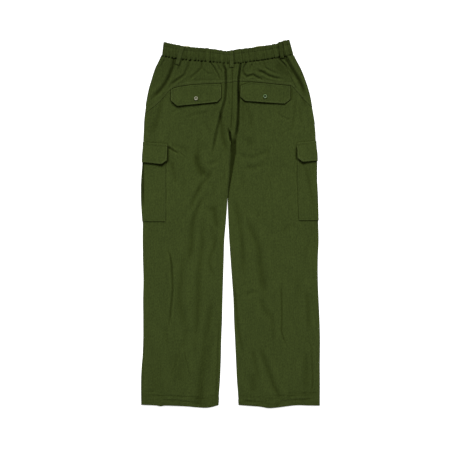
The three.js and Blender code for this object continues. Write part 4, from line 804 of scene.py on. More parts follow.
def blend(tree, share, start, end):
    """The colour a share of the way from start to end."""
    colours = {0: share, 6: start, 7: end}
    return new_node(tree, "ShaderNodeMix", colours, data_type="RGBA", clamp_factor=True).outputs[2]


def times(tree, colour, factor):
    """A colour times a number."""
    inputs = {0: colour, "Scale": factor}
    return new_node(tree, "ShaderNodeVectorMath", inputs, operation="SCALE").outputs["Vector"]


def painted(tree, name):
    """A value that was painted on the mesh."""
    return new_node(tree, "ShaderNodeAttribute", attribute_name=name).outputs["Fac"]


def new_finish(name, **constants):
    """A new material, its node tree and its shader, with the shader's constants set."""
    material = bpy.data.materials.new(name)
    material.use_nodes = True
    shader = material.node_tree.nodes["Principled BSDF"]
    for key, value in constants.items():
        shader.inputs[key.replace("_", " ")].default_value = value
    return material, material.node_tree, shader


# %% The weave, as a node group
RIB_ANGLE = 1.05
YARN_SCALE = {"streak": (420, 26, 60), "grain": (330, 170, 200)}


def weave_group():
    """Shade and height of a twill: ribs at 60 degrees, warp streaks and a fine grain."""
    tree, start, end = new_group(
        "twill_weave",
        [("Rib pitch mm", 1.1), ("Streaks", 0.05), ("Grain", 0.06)],
        [("Shade", "NodeSocketFloat"), ("Height", "NodeSocketFloat")],
    )
    place = new_node(tree, "ShaderNodeTexCoord").outputs["Object"]

    def centred(value, amount):
        """A texture's value, moved to lie round 0 and scaled."""
        return maths(tree, "MULTIPLY", maths(tree, "SUBTRACT", value, 0.5), amount)

    def noise(kind, roughness):
        """Noise that is stretched along the yarns."""
        long = new_node(tree, "ShaderNodeMapping", {"Vector": place, "Scale": YARN_SCALE[kind]})
        inputs = {"Vector": long.outputs["Vector"], "Scale": 1.0, "Detail": 3.0, "Roughness": roughness}
        return new_node(tree, "ShaderNodeTexNoise", inputs).outputs["Fac"]

    turn = new_node(tree, "ShaderNodeMapping", {"Vector": place, "Rotation": (0, 0, RIB_ANGLE)})
    inputs = {
        "Vector": turn.outputs["Vector"],
        "Scale": maths(tree, "DIVIDE", 1000 / 20, start.outputs["Rib pitch mm"]),
        "Distortion": 1.2,
        "Detail": 1.0,
        "Detail Scale": 3.0,
    }
    ribs = new_node(tree, "ShaderNodeTexWave", inputs, bands_direction="X").outputs["Fac"]
    streaks = maths(tree, "MULTIPLY", centred(noise("streak", 0.6), start.outputs["Streaks"]), 4.0)
    grain = maths(tree, "MULTIPLY", centred(noise("grain", 0.75), start.outputs["Grain"]), 4.0)
    uneven = maths(tree, "ADD", streaks, grain)
    shade = maths(tree, "ADD", maths(tree, "ADD", centred(ribs, 0.035), uneven), 1.0)
    height = maths(tree, "ADD", ribs, maths(tree, "MULTIPLY", uneven, 2.0))
    tree.links.new(shade, end.inputs["Shade"])
    tree.links.new(height, end.inputs["Height"])
    return tree


WEAVE = weave_group()
print("weave group has", len(WEAVE.nodes), "nodes")


# %% Cloth finishes
# How dark full painted shade makes the cloth, and how much of its blue stays there.
DARKEST_PAINTED_SHADE = 0.8
PAINTED_SHADE_BLUE = 0.62


def cloth_finish(name, colour, rubbed_and_highlight, pitch, streaks, grain, bump=0.25):
    """A matt woven cloth: its colour times the weave's shade and the painted light falloff, paler where
    it is worn and where a painted rim highlight lies, and darker and with less blue under painted
    shade."""
    material, tree, shader = new_finish(name, Roughness=0.9, Specular_IOR_Level=0.04)
    values = {"Rib pitch mm": pitch, "Streaks": streaks, "Grain": grain}
    weave = new_node(tree, "ShaderNodeGroup", node_tree=WEAVE)
    for label, value in values.items():
        weave.inputs[label].default_value = value
    painted_shade = painted(tree, "painted_shade")
    tint = blend(tree, painted(tree, "wear_and_highlight"), (*colour, 1), (*rubbed_and_highlight, 1))
    tint = blend(tree, painted_shade, tint, (colour[0], colour[1], PAINTED_SHADE_BLUE * colour[2], 1))
    painted_darkening = maths(tree, "SUBTRACT", 1.0, maths(tree, "MULTIPLY", painted_shade, DARKEST_PAINTED_SHADE))
    shade = maths(tree, "MULTIPLY", weave.outputs["Shade"], painted(tree, "painted_brightness"))
    tint = times(tree, tint, maths(tree, "MULTIPLY", shade, painted_darkening))
    tree.links.new(tint, shader.inputs["Base Color"])
    values = {"Height": weave.outputs["Height"], "Strength": bump, "Distance": 0.0002}
    relief = new_node(tree, "ShaderNodeBump", values)
    tree.links.new(relief.outputs["Normal"], shader.inputs["Normal"])
    return material


OLIVE = (0.0419, 0.0579, 0.0134)
TWILL = cloth_finish("olive_twill", OLIVE, (0.064, 0.084, 0.0235), 1.1, 0.12, 0.35)
LINING_TWILL = cloth_finish("pocket_twill", (0.036, 0.050, 0.012), (0.05, 0.066, 0.018), 1.1, 0.1, 0.1)
TAPE = cloth_finish("cream_tape", (0.66, 0.64, 0.40), (0.72, 0.70, 0.5), 1.6, 0.03, 0.04)


def thread_finish(name, colour):
    """Sewing thread: a plain matt colour, fuzzy with a very fine noise."""
    material, tree, shader = new_finish(name, Base_Color=(*colour, 1), Specular_IOR_Level=0.15)
    place = new_node(tree, "ShaderNodeTexCoord").outputs["Object"]
    fuzz = new_node(tree, "ShaderNodeTexNoise", {"Vector": place, "Scale": 4000.0, "Detail": 2.0})
    rough = maths(tree, "ADD", maths(tree, "MULTIPLY", fuzz.outputs["Fac"], 0.3), 0.6)
    tree.links.new(rough, shader.inputs["Roughness"])
    return material


def horn_finish(name, colour, dark):
    """A moulded resin button: cloudy streaks in the colour, darker in the dish by painted shade, and a
    satin shine.
    """
    material, tree, shader = new_finish(name, Roughness=0.38, Coat_Weight=0.2)
    place = new_node(tree, "ShaderNodeTexCoord").outputs["Object"]
    inputs = {"Vector": place, "Scale": 160.0, "Detail": 4.0, "Distortion": 1.5}
    cloud = new_node(tree, "ShaderNodeTexNoise", inputs).outputs["Fac"]
    tint = times(tree, blend(tree, cloud, (*dark, 1), (*colour, 1)), painted(tree, "painted_brightness"))
    tree.links.new(tint, shader.inputs["Base Color"])
    return material


THREAD = thread_finish("olive_thread", (0.050, 0.066, 0.018))
DARK_THREAD = thread_finish("dark_olive_thread", (0.016, 0.021, 0.008))
# The pale button's colour is resin made paler by a painted reflection.
HORN_PAINTED_REFLECTION = horn_finish("button_painted_reflection", (0.35, 0.35, 0.24), (0.23, 0.23, 0.15))
HORN_GREEN = horn_finish("green_button", (0.16, 0.27, 0.10), (0.10, 0.17, 0.055))
print("finishes:", [m.name for m in bpy.data.materials])

# %% [markdown]
# ## Camera, floor and light
#
# The garment was photographed from straight above, on white, with a soft light from the waist side:
# the flaps' lower edges have narrow, dark shadows. So the camera looks straight down with a long
# lens, and five soft suns stand in a fan on the +Y side, the middle one by far the strongest, with a
# little even light from all round. One large area lamp would do too, but its light falls off.

# %% Camera
PHOTO_PIXELS, MM_PER_PIXEL = 450, 2.9
FRAME_WIDTH = PHOTO_PIXELS * MM_PER_PIXEL * MM
LENS, SENSOR = 120.0, 36.0
AIM = (-15.2 * MM, -3.6 * MM)
camera = bpy.data.objects.new("camera", bpy.data.cameras.new("camera"))
camera.data.lens = LENS
camera.data.sensor_width = SENSOR
camera.data.clip_end = 100
camera.location = (*AIM, FRAME_WIDTH * LENS / SENSOR + 4 * MM)
bpy.context.scene.collection.objects.link(camera)
bpy.context.scene.camera = camera
print("camera height", round(camera.location.z, 2), "m")


# %% Floor and light
def sun(name, energy, direction):
    """A soft sun that shines against direction, the way from the garment to the lamp."""
    light = bpy.data.lights.new(name, "SUN")
    light.energy = energy
    light.angle = 0.4
    holder = bpy.data.objects.new(name, light)
    way = Vector(direction).normalized()
    holder.location = way * 3
    holder.rotation_mode = "QUATERNION"
    holder.rotation_quaternion = way.to_track_quat("Z", "Y")
    bpy.context.scene.collection.objects.link(holder)


ELEVATION = np.radians(42)
for k, (azimuth, power) in enumerate([(-62, 0.35), (-32, 0.55), (0, 2.1), (32, 0.6), (62, 0.4)]):
    a = np.radians(azimuth)
    flat_way = np.cos(ELEVATION) * np.array([np.sin(a), np.cos(a)])
    sun(f"waist_light_{k}", power, (*flat_way, np.sin(ELEVATION)))

FLOOR_REACH, FLOOR_Z = 12.0, -0.0006
corners = [(x * FLOOR_REACH, y * FLOOR_REACH, FLOOR_Z) for x, y in ((-1, -1), (1, -1), (1, 1), (-1, 1))]
floor_mesh = bpy.data.meshes.new("floor")
floor_mesh.from_pydata(corners, [], [(0, 1, 2, 3)])
floor = bpy.data.objects.new("floor", floor_mesh)
bpy.context.scene.collection.objects.link(floor)
floor_white = {"Base_Color": (0.9, 0.9, 0.9, 1), "Roughness": 0.9, "Specular_IOR_Level": 0.0}
floor_glow = {"Emission_Color": (1, 1, 1, 1), "Emission_Strength": 0.75}
floor_mesh.materials.append(new_finish("floor_white", **floor_white, **floor_glow)[0])

world = bpy.data.worlds.new("studio")
bpy.context.scene.world = world
world.use_nodes = True
sky = world.node_tree
background = sky.nodes["Background"]
background.inputs["Color"].default_value = (1, 1, 1, 1)
# The sky looks white but lights the garment only a little.
SKY_SEEN, SKY_LIGHT = 0.9, 0.16
seen = new_node(sky, "ShaderNodeLightPath").outputs["Is Camera Ray"]
strength = maths(sky, "ADD", maths(sky, "MULTIPLY", seen, SKY_SEEN), SKY_LIGHT)
sky.links.new(strength, background.inputs["Strength"])
bpy.context.scene.view_settings.view_transform = "Standard"
bpy.context.scene.view_settings.look = "None"
print("lit from the waist side")

# %% [markdown]
# ## Legs
#
# A leg is a long panel whose edges turn down to the seams. Its grid has columns from the outseam to
# the inner edge and rows up the leg; the rows fan out at the top to meet the slanted yoke seam. The
# columns are closest where the deep seat folds are. The hem is the same cloth turned up and
# stitched, so it gets a ridge, a groove and a rounded lip.

# %% Leg grid
LEG_WIDTH = 245.0
EDGE_STOPS = np.array([0, 0.15, 0.5, 1.0, 1.8, 2.8, 4.0, 5.2, 6.6]) / LEG_WIDTH
LIP_STOPS = [0, 0.3, 0.8, 1.6, 2.8, 4.5, 7, 10, 13, 16, 18]
STITCHING_STOPS = [20, 21, 22, 23, 24, 25, 26, 27, 28.5, 31, 34]
SAG_Y = -488
FINE_ROWS_Y = 160


def across(step_outer, step_inner, split=0.72):
    """Shares of the way across a panel: close at both rolled edges, step_outer mm apart up to the
    split and step_inner mm apart past it."""
    outer = np.arange(EDGE_STOPS[-1], split, step_outer / LEG_WIDTH)[1:]
    inner = np.arange(split, 1 - EDGE_STOPS[-1], step_inner / LEG_WIDTH)[:-1]
    return np.concatenate([EDGE_STOPS, outer, inner, 1 - EDGE_STOPS[::-1]])


def leg_grid(side, shares, levels, seat, top_out, top_in, top_y):
    """X and Y of a leg's points. Under the seat each row is level but for the hem's own curve; over
    it the rows blend towards the top edge, top_y, given at each share of the way across."""
    t = shares[None, :]
    low = levels[:, None]
    x_low = lerp(outer_x(side, low), inner_x(side, low), t)
    sag = (hem_y(x_low) - HEM_Y) * clamp((SAG_Y - low) / (SAG_Y - HEM_Y))
    s = seat[:, None]
    out_y, in_y = lerp(SEAT_Y, top_out, s), lerp(SEAT_Y, top_in, s)
    x_high = lerp(outer_x(side, out_y), inner_x(side, in_y), t)
    y_high = lerp(SEAT_Y, top_y[None, :], s)
    return np.vstack([x_low, x_high]), np.vstack([low + sag, y_high])


def level_stops(step):
    """Rows from the hem to the seat, close together at the hem's lip and stitching, and twice as
    close over the thighs as on the shins."""
    lip = HEM_Y + np.array(LIP_STOPS + STITCHING_STOPS)
    plain = np.arange(HEM_Y + 38, FINE_ROWS_Y, step)
    return np.concatenate([lip, plain, np.arange(plain[-1] + step / 2, SEAT_Y, step / 2), [SEAT_Y]])


def yoke_seam_y(side, x):
    """The yoke seam as straight stretches."""
    return np.interp(x, YOKE_SEAM[side]["x"], YOKE_SEAM[side]["y"])


def hem_height(x, y):
    """The turned-up hem: a rounded lip, a ridge of double cloth and a groove at its stitching."""
    d = y - hem_y(x)
    lip = -1.6 * (1 - roll(d, 2.2))
    double = 0.5 * smooth((HEM_TURN + 1.5 - d) / 3)
    groove = 0.35 * bell((d - HEM_STITCHING) / 1.2)
    pucker = 0.18 * np.cos(x * 2 * np.pi / 11 + 2 * np.sin(x / 17)) * bell((d - 16) / 12)
    return lip + double - groove + pucker


BACK_SHARES = across(1.9, 1.25)
print(len(BACK_SHARES), "columns across a back leg")


# %% Back legs
# Painted values run from a painted highlight, below 0, to full painted shade.
PAINTED_SHADE_RANGE = (-0.25, 1)
LAYER = 0.06


def crotch_band(y):
    """Width of the sloping band of the right leg beside the centre line."""
    return lerp(3.6, 16.4, clamp((y - 83) / 125) ** 1.1)


def crotch_shape(side, x, y):
    """Where the legs meet under the crotch. The left leg's edge stands up as a soft ridge, and the
    right leg slopes down to it over a band that narrows towards the gap."""
    near = smooth((y - 66) / 40) * smooth((268 - y) / 40)
    d = from_inner(side, x, y)
    if side == "left":
        return 2.6 * near * bell((d - 7) / 7)
    return -near * 6.0 * (1 - smooth(d / crotch_band(y)))


def cargo_outline(side):
    """The corners of the cargo flap's part on the back."""
    f, s = CARGO_FLAPS[side], SIGN[side]
    out = float(outer_x(side, 200.0)) + s * 3
    inn = out - s * (f["width"] + 3)
    return [
        (out, f["top"][0]), (inn, f["top"][1]), (inn, f["bottom"][1] + 13),
        (inn + s * 14.5, f["bottom"][1]), (out, f["bottom"][0]),
    ]


def fold_painted_shade(x, y):
    """Painted shade in the folds."""
    return over_folds(FOLDS, x, y, painted_fold_shade)


def leg_painted_shade(side, x, y):
    """Painted shade in folds; painted shadows round the back flap, round the cargo flap and below the
    cargo pocket; a painted dark line with a painted highlight beside the pocket's inner edge; painted
    shade along the centre seam over the seat; a little darker, in streaks, over the turned-up hem;
    and on the right leg painted shade in the band under the crotch.
    """
    f = BACK_FLAPS[side]
    flap = 0.75 * beside(outline_distance(f["top"] + f["bottom"][::-1], x, y), 1.3, 1.5)
    far = outline_distance(cargo_outline(side), x, y)
    cargo = beside(far, 2.6, 3.2) * smooth((226 - y) / 8)
    cargo = cargo + 0.42 * beside(far, 2.0, 1.4) * smooth((y - 226) / 6)
    inner = from_side(side, x, y) - POCKET_BACK_WIDTH[side]
    line = {"left": 0.3, "right": 0.42}[side] * beside(inner, 1.5, 1.3) - 0.14 * beside(inner, 4.6, 1.6)
    pocket = line * smooth((y - POCKET_BOTTOM_Y[side] + 2) / 4) * smooth((180 - y) / 10)
    under = 0.35 * beside(y, POCKET_BOTTOM_Y[side] - 1.2, 1.3) * smooth(-inner / 4)
    seam = (y > 60) * 0.5 * beside(from_inner(side, x, y), 0.6, 1.2) * smooth((y - 262) / 30)
    hem = y - hem_y(x)
    turned = (0.1 + ripple(x, y, 91, 46, 5, 0.07)) * smooth((HEM_TURN + 15 - hem) / 6)
    total = fold_painted_shade(x, y) + flap + 0.9 * cargo + pocket + under + seam + turned
    if side == "right":
        d = from_inner(side, x, y)
        band = 1 - smooth((d - crotch_band(y) + 2) / 3.5)
        strength = lerp(0.95, 0.8, smooth((y - 100) / 60)) * band
        total = total + strength * smooth((y - 62) / 20) * smooth((255 - y) / 18)
    return np.clip(total, *PAINTED_SHADE_RANGE)


def leg_face(side, x, y):
    """Height of a back leg: the back with the ridge at the crotch and the turned-up hem."""
    return back_height(side, x, y) + crotch_shape(side, x, y) + hem_height(x, y)


def back_leg(side):
    """A panel from the hem to the yoke seam. Its top edge runs on under the yoke in two more rows,
    low enough to clear it."""
    yoke_x = lerp(outer_x(side, YOKE_END_Y[side]), inner_x(side, YOKE_CENTRE_Y), BACK_SHARES)
    top_y = yoke_seam_y(side, yoke_x) - SEAM_GAP / 2
    seat = np.linspace(0, 1, 62)[1:]
    ends = YOKE_END_Y[side], YOKE_CENTRE_Y
    x, y = leg_grid(side, BACK_SHARES, level_stops(5.0), seat, *ends, top_y)
    full = np.maximum(leg_face(side, x, y), underside(x, y) + 2 * CLOTH + 0.4)
    z = rolled(side, x, y, full, LAYER) - 0.5 * bell((yoke_seam_y(side, x) - y) / 1.6)
    edge = np.minimum(from_side(side, x, y), np.where(parted(y) > 0.5, from_inner(side, x, y), 99))
    wear_and_highlight = 0.45 * edge_wear_and_highlight(edge, 3) + 0.5 * edge_wear_and_highlight(y - hem_y(x), 2.5)
    points = grid(x, y, z)
    inside = smooth(from_side(side, x[-1], y[-1]) / 12)
    tuck = [points[-1] + grid(0, up, -0.3 - down * inside) for up, down in ((0.6, 0.7), (3.4, 1.3))]
    points = np.concatenate([points, tuck])
    painted_shade = leg_painted_shade(side, x, y)
    painted_shade, wear_and_highlight = (np.vstack([values, values[-1:], values[-1:]]) for values in (painted_shade, wear_and_highlight))
    cloth(f"back_leg_{side}", points, side == "right", wear_and_highlight=wear_and_highlight, painted_shade=painted_shade, material=TWILL)


for side in SIGN:
    back_leg(side)

# %% [markdown]
# ## Front legs
#
# The fronts lie on the floor under the backs and only show from below. Each is cut away on a slant
# at the hip, where the hand pocket opens; the slant shows a darker facing behind it.

# %% Front legs and pocket facings
MOUTH_SHARE = 0.4
FLOOR_GAP = 0.02
FRONT_SHARES = across(4.2, 4.2)
WAIST_MIDDLE_Y = float(waist_seam(5.0))
BAND_SEAM_ENDS = {"left": -198.0, "right": 183.4}
BAND_TOP_ENDS = {"left": -193.6, "right": 171.8}


def mouth(side):
    """The low and the high end of the hand pocket's slanted mouth."""
    out, inn = outer_x(side, YOKE_END_Y[side]), inner_x(side, WAIST_MIDDLE_Y)
    x = lerp(out, inn, MOUTH_SHARE)
    return (lerp(out, inn, EDGE_ROLL / LEG_WIDTH), YOKE_END_Y[side]), (x, waist_seam(x) - SEAM_GAP)


def front_leg(side):
    """A panel from the hem to the waist seam, cut away along the mouth of the hand pocket."""
    (low_x, low_y), (high_x, high_y) = mouth(side)
    x = lerp(outer_x(side, YOKE_END_Y[side]), inner_x(side, WAIST_MIDDLE_Y), FRONT_SHARES)
    along = (x - low_x) / (high_x - low_x)
    top = np.where(along < 1, lerp(low_y, high_y, clamp(along)), waist_seam(x)) - SEAM_GAP
    seat = np.linspace(0, 1, 34)[1:]
    ends = YOKE_END_Y[side], WAIST_MIDDLE_Y
    x, y = leg_grid(side, FRONT_SHARES, level_stops(9.0), seat, *ends, top)
    d = y - hem_y(x)
    hem = 1.2 * (1 - roll(d, 2.2)) + 0.3 * bell((d - HEM_STITCHING) / 1.6)
    z = np.maximum(rolled(side, x, y, front_height(side, x, y) + hem, -LAYER), FLOOR_GAP)
    wear_and_highlight = 0.45 * edge_wear_and_highlight(from_side(side, x, y), 3) + 0.5 * edge_wear_and_highlight(d, 2.5)
    cloth(f"front_leg_{side}", grid(x, y, z), side == "left", wear_and_highlight=wear_and_highlight, material=TWILL)


def pocket_facing(side):
    """A triangle from the outseam to the slant: each row is as wide as the mouth is far in."""
    (low_x, low_y), (high_x, high_y) = mouth(side)
    v = np.linspace(0, 1, 60)[:, None]
    waist_end = waist_seam(BAND_SEAM_ENDS[side])
    out_y = lerp(YOKE_END_Y[side] + SEAM_GAP, waist_end - SEAM_GAP, v)
    out = outer_x(side, out_y)
    edge_x, edge_y = lerp(low_x, high_x, v) + SIGN[side] * 0.5, lerp(low_y + SEAM_GAP, high_y, v)
    width = np.abs(edge_x - out)
    squeeze = np.minimum(1, (width - 1.5) / EDGE_ROLL)
    near = np.linspace(0, EDGE_ROLL, 9) * squeeze
    beyond = lerp(EDGE_ROLL * squeeze, width, np.linspace(0, 1, 22)[1:])
    share = np.hstack([near, beyond]) / width
    x, y = lerp(out, edge_x, share), lerp(out_y, edge_y, share)
    z = np.maximum(rolled(side, x, y, underside(x, y) + 0.15, -LAYER), FLOOR_GAP)
    finish = {"material": LINING_TWILL, "slot": "pocket_twill"}
    cloth(f"front_pocket_facing_{side}", grid(x, y, z), side == "left", **finish)


for side in SIGN:
    front_leg(side)
for side in SIGN:
    pocket_facing(side)

# %% [markdown]
# ## Gathers, yokes and waistband
#
# Elastic pulls the back waist in, so thirty-six gathers stand across it, with finer ones between.
# They are rounded crests with narrow valleys, and no two are the same. The same gathers run on into
# the yokes and die out a few centimetres down. A yoke is cut to a slant at the hip and is sewn over
# the leg, so its lower edge stands proud and has two rows of stitching.

# %% Gathers
def gather_rows(count, seed):
    """Places and heights of a row of gathers, each a little off its even place."""
    rng = np.random.default_rng(seed)
    at = (np.arange(count + 1) + rng.uniform(-0.27, 0.27, count + 1)) / count
    return at, rng.uniform(0.45, 1.35, count + 1)


BIG_GATHERS, SMALL_GATHERS = gather_rows(36, 5), gather_rows(70, 6)
BAND_LENGTH = 381.4


def gathers(t, rows=None):
    """Height of the gathers, about 0 to 1, at a share t of the way across the waist: |sin| to the
    power 0.7 between one valley and the next, times that gather's own height."""
    if rows is None:
        return 0.55 * gathers(t, BIG_GATHERS) + 0.45 * gathers(t, SMALL_GATHERS)
    at, tall = rows
    i = np.clip(np.searchsorted(at, t) - 1, 0, len(at) - 2)
    along = clamp((t - at[i]) / (at[i + 1] - at[i]))
    return np.abs(np.sin(np.pi * along)) ** 0.7 * tall[i]


def waist_share(x):
    """How far across the waistband's lower seam a point is."""
    return (x - BAND_SEAM_ENDS["left"]) / (BAND_SEAM_ENDS["right"] - BAND_SEAM_ENDS["left"])


def pits(share, x):
    """1 in the dips between gathers at the waist seam, 0 on the crests. The dips are deepest on
    the left; on the right they run together more."""
    at, tall = BIG_GATHERS
    dips = 1 - smooth((gathers(share, (at, 0.75 + 0.3 * tall)) - 0.55) / 0.4)
    return np.where(x < 5, dips, 0.35 + 0.65 * dips)


print("widest gather", round(float(np.diff(BIG_GATHERS[0]).max() * BAND_LENGTH), 1), "mm")

# %% Belt loop places
LOOP_WIDTH = 11.0
BACK_LOOPS = {
    "belt_loop_back_left": ((-138.8, 511), (-154.2, 461.5)),
    "belt_loop_back_centre": ((2.6, 501.5), (4.6, 453)),
    "belt_loop_back_right": ((144.3, 527), (150.8, 480)),
}


def painted_loop_shadow(x, y):
    """Painted shadow along both sides and the lower end of each back loop: faint on the band, dark by
    the loop's end, and darker all along the right loop."""
    total = np.zeros(np.broadcast(x, y).shape)
    for (tx, ty), (bx, by) in BACK_LOOPS.values():
        length = np.hypot(tx - bx, ty - by)
        along = ((x - bx) * (tx - bx) + (y - by) * (ty - by)) / length
        aside = np.abs((x - bx) * (ty - by) - (y - by) * (tx - bx)) / length
        off = np.maximum(aside - LOOP_WIDTH / 2, -along)
        amount = 0.22 + 0.45 * smooth((24 - along) / 12) + 0.24 * (tx > 100)
        total = np.maximum(total, amount * beside(off, 1.2, 1.3) * (along < length + 4))
    return total


# %% Yokes
YOKE_SHARES = across(1.25, 1.15)
YOKE_REACH = 34.0
YOKE_STITCHING = (1.8, 8.0)
PLAIN_X = 158


def yoke_grid(side, v):
    """X, Y and each column's share across the waist, from the yoke seam (v = 0) to the waist."""
    v = np.asarray(v)[:, None]
    t = YOKE_SHARES[None, :]
    waist_end = waist_seam(BAND_SEAM_ENDS[side])
    out = outer_x(side, lerp(YOKE_END_Y[side] + SEAM_GAP, waist_end + 3.5, v))
    inn = inner_x(side, lerp(YOKE_CENTRE_Y + SEAM_GAP, WAIST_MIDDLE_Y - SEAM_GAP, v))
    x = lerp(out, inn, t)
    seam_x = lerp(outer_x(side, YOKE_END_Y[side]), inner_x(side, YOKE_CENTRE_Y), t)
    y = lerp(yoke_seam_y(side, seam_x) + SEAM_GAP / 2, waist_seam(x) + 3.5, v)
    top_x = lerp(outer_x(side, waist_end), inner_x(side, WAIST_MIDDLE_Y), t)
    return x, y, waist_share(top_x) + 0 * v


def yoke_height(side, x, y, share):
    """Height of a yoke: over the back, with the ends of the gathers, a turned lower edge, a groove
    at each row of stitches, and a tuck where the waistband holds it down."""
    up = y - yoke_seam_y(side, x)
    below_waist = waist_seam(x) - y
    ruffle = 1.15 * (gathers(share) - 0.45) * smooth(1 - below_waist / YOKE_REACH) ** 1.3
    edge = 0.7 * turned(up, 1.2)
    rows = sum(0.35 * beside(up, row, 0.8) for row in YOKE_STITCHING)
    tuck = (0.5 + 2.6 * pits(share, x)) * bell(below_waist / 3.0)
    full = back_height(side, x, y) + 0.8 + ruffle - edge - rows - tuck
    return rolled(side, x, y, full, LAYER)


def yoke(side):
    """A panel between the yoke seam and the waistband, with a painted shadow under the waistband that
    is deepest in the dips of its gathers, painted shade along the centre seam and along its lower edge,
    painted shadows beside the belt loops, and the painted shade of the folds."""
    edge = [0, 0.006, 0.014, 0.025, 0.04, 0.06]
    v = np.concatenate([edge, np.linspace(0.08, 0.97, 60), [0.98, 0.99, 1]])
    x, y, share = yoke_grid(side, v)
    z = yoke_height(side, x, y, share)
    up = y - yoke_seam_y(side, x)
    wear_and_highlight = 0.3 * smooth(up / 1.5) * smooth((10 - up) / 3)
    wear_and_highlight = wear_and_highlight + 0.25 * edge_wear_and_highlight(from_side(side, x, y), 3)
    seam = (0.1 + 0.9 * pits(share, x)) * (x < PLAIN_X) * beside(waist_seam(x) - y, 0.4, 2.4)
    centre = 0.45 * beside(from_inner(side, x, y), 0.6, 1.2)
    low = 0.45 * beside(up, 0.2, 1.0)
    painted_shade = np.clip(fold_painted_shade(x, y) + seam + centre + painted_loop_shadow(x, y) + low, *PAINTED_SHADE_RANGE)
    name = f"back_yoke_{side}"
    cloth(name, grid(x, y, z), side == "right", wear_and_highlight=wear_and_highlight, painted_shade=painted_shade, material=TWILL)


for side in SIGN:
    yoke(side)

# %% Waistband
BAND_TALL, BAND_CLOTH, FACING_CLOTH = 41.0, 2.2, 0.8
BAND_STITCHING = 27
BAND_FLOOR = WAIST_LIFT
FRONT_BAND_TOP = BAND_FLOOR + BAND_CLOTH
BACK_BAND_TOP = FRONT_BAND_TOP + LAY_GAP + FACING_CLOTH + LAY_GAP + BAND_CLOTH + 0.3
BAND_SEAM_Z = FRONT_BAND_TOP + 0.2
BAND_EDGE_STOPS = np.array([0, 0.2, 0.6, 1.2, 2.0, 3.0, 4.0, 5.0, 6.0]) / BAND_LENGTH


def band_grid(t, v, low_rise, top_rise, height, end_z):
    """A band between the waist seam (v = 0) and its top edge (v = 1). low_rise and top_rise move
    the edges, and height is the face's own height; the ends turn down to end_z."""
    t, v = t[None, :], v[:, None]
    low = lerp(BAND_SEAM_ENDS["left"], BAND_SEAM_ENDS["right"], t)
    high = lerp(BAND_TOP_ENDS["left"], BAND_TOP_ENDS["right"], t)
    left, right = (lerp(BAND_SEAM_ENDS[side], BAND_TOP_ENDS[side], v) for side in SIGN)
    x = lerp(low, high, v)
    y = lerp(waist_seam(low) + 0.2 + low_rise(t), waist_top(high) + top_rise(high, t), v)
    share = np.minimum(roll(x - left), roll(right - x))
    return grid(x, y, end_z + (height(x, t, v) - end_z) * share)


def band_stops(steps):
    """Shares of the way across the waistband, close together at both rolled ends."""
    stops = BAND_EDGE_STOPS
    middle = np.linspace(stops[-1], 1 - stops[-1], steps)[1:-1]
    return np.concatenate([stops, middle, 1 - stops[::-1]])


def level(*_):
    """An edge that keeps its place."""
    return 0.0


def back_band_height(x, t, v):
    """Gathers pinched at the seam and at the row of stitches, a bulge between them, and a ruffle
    above; both edges turn down over their last millimetres."""
    up = v * BAND_TALL
    pinch = 1 - 0.3 * beside(up, BAND_STITCHING, 2.0)
    bulge = np.sin(np.pi * clamp(up / BAND_STITCHING)) ** 0.8
    fall = (0.5 + 2.3 * pits(t, x)) * turned(up, 3.2) + 1.5 * turned(BAND_TALL - up, 2.2)
    row = 0.2 * beside(up, BAND_STITCHING, 1.1)
    return BACK_BAND_TOP - 0.6 + 1.9 * gathers(t) * pinch + bulge - fall - row


def back_band():
    """The gathered band. Its edges waver with the gathers; painted shade lies between them and a
    painted highlight on their crests, and painted shade along the row of stitches, in the dips at the
    seam and in fine lines across the band, with painted shadows beside the belt loops and a little
    random tone."""
    low_edge, high_edge = [0, 0.01, 0.025, 0.04, 0.06], [0.955, 0.97, 0.98, 0.99, 1]
    v = np.concatenate([low_edge, np.linspace(0.085, 0.94, 30), high_edge])
    t = band_stops(320)
    low_rise = lambda t: -2.2 * (gathers(t) - 0.5)
    top_rise = lambda x, t: 2.0 * (gathers(t) - 0.6)
    points = band_grid(t, v, low_rise, top_rise, back_band_height, BAND_SEAM_Z + 0.1)
    up, x, y = (v * BAND_TALL)[:, None], points[..., 0], points[..., 1]
    wear_and_highlight = 0.5 * edge_wear_and_highlight((1 - v[:, None]) * BAND_TALL, 2.0) + 0.25 * edge_wear_and_highlight(up, 2.0)
    ridge = gathers(t)[None, :]
    row = np.where(x > 20, 0.55, 0.15) * beside(up, BAND_STITCHING + 1, 1.4) * smooth(1.5 - 1.6 * ridge)
    low = 0.7 * pits(t[None, :], x) * (x < PLAIN_X) * beside(up, 0, 2.2)
    fine_gather_shading = 0.15 * np.cos(2 * np.pi * x / 4.4 + ripple(x, y, 72, 30, 60, 1.5))
    patches = ripple(x, y, 71, 16, 22, 0.05) + fine_gather_shading
    painted_shade = np.clip(0.5 * (0.72 - ridge) + row + low + patches + painted_loop_shadow(x, y), *PAINTED_SHADE_RANGE)
    look = {"thickness": BAND_CLOTH - 0.2, "wear_and_highlight": wear_and_highlight, "painted_shade": painted_shade, "material": TWILL}
    cloth("waistband_back", points, False, **look)


def front_rise(x):
    """The front's top edge stays under the back's, but shows over it in two short places."""
    return -2.2 + 4.9 * bell((x + 124) / 16) + 4.7 * bell((x - 82) / 20)


def front_band_height(x, t, v):
    """The front's flat face, which turns up over its last 2 mm at both edges."""
    return BAND_FLOOR + 0.9 * turned(v * BAND_TALL, 2) + 0.9 * turned((1 - v) * BAND_TALL, 2)


def front_band():
    """The plain band, with its face on the floor side."""
    v = np.linspace(0, 1, 24)
    top_rise = lambda x, t: front_rise(x)
    points = band_grid(band_stops(130), v, level, top_rise, front_band_height, BAND_SEAM_Z - 0.1)
    cloth("waistband_front", points, True, thickness=BAND_CLOTH - 0.4, material=TWILL)


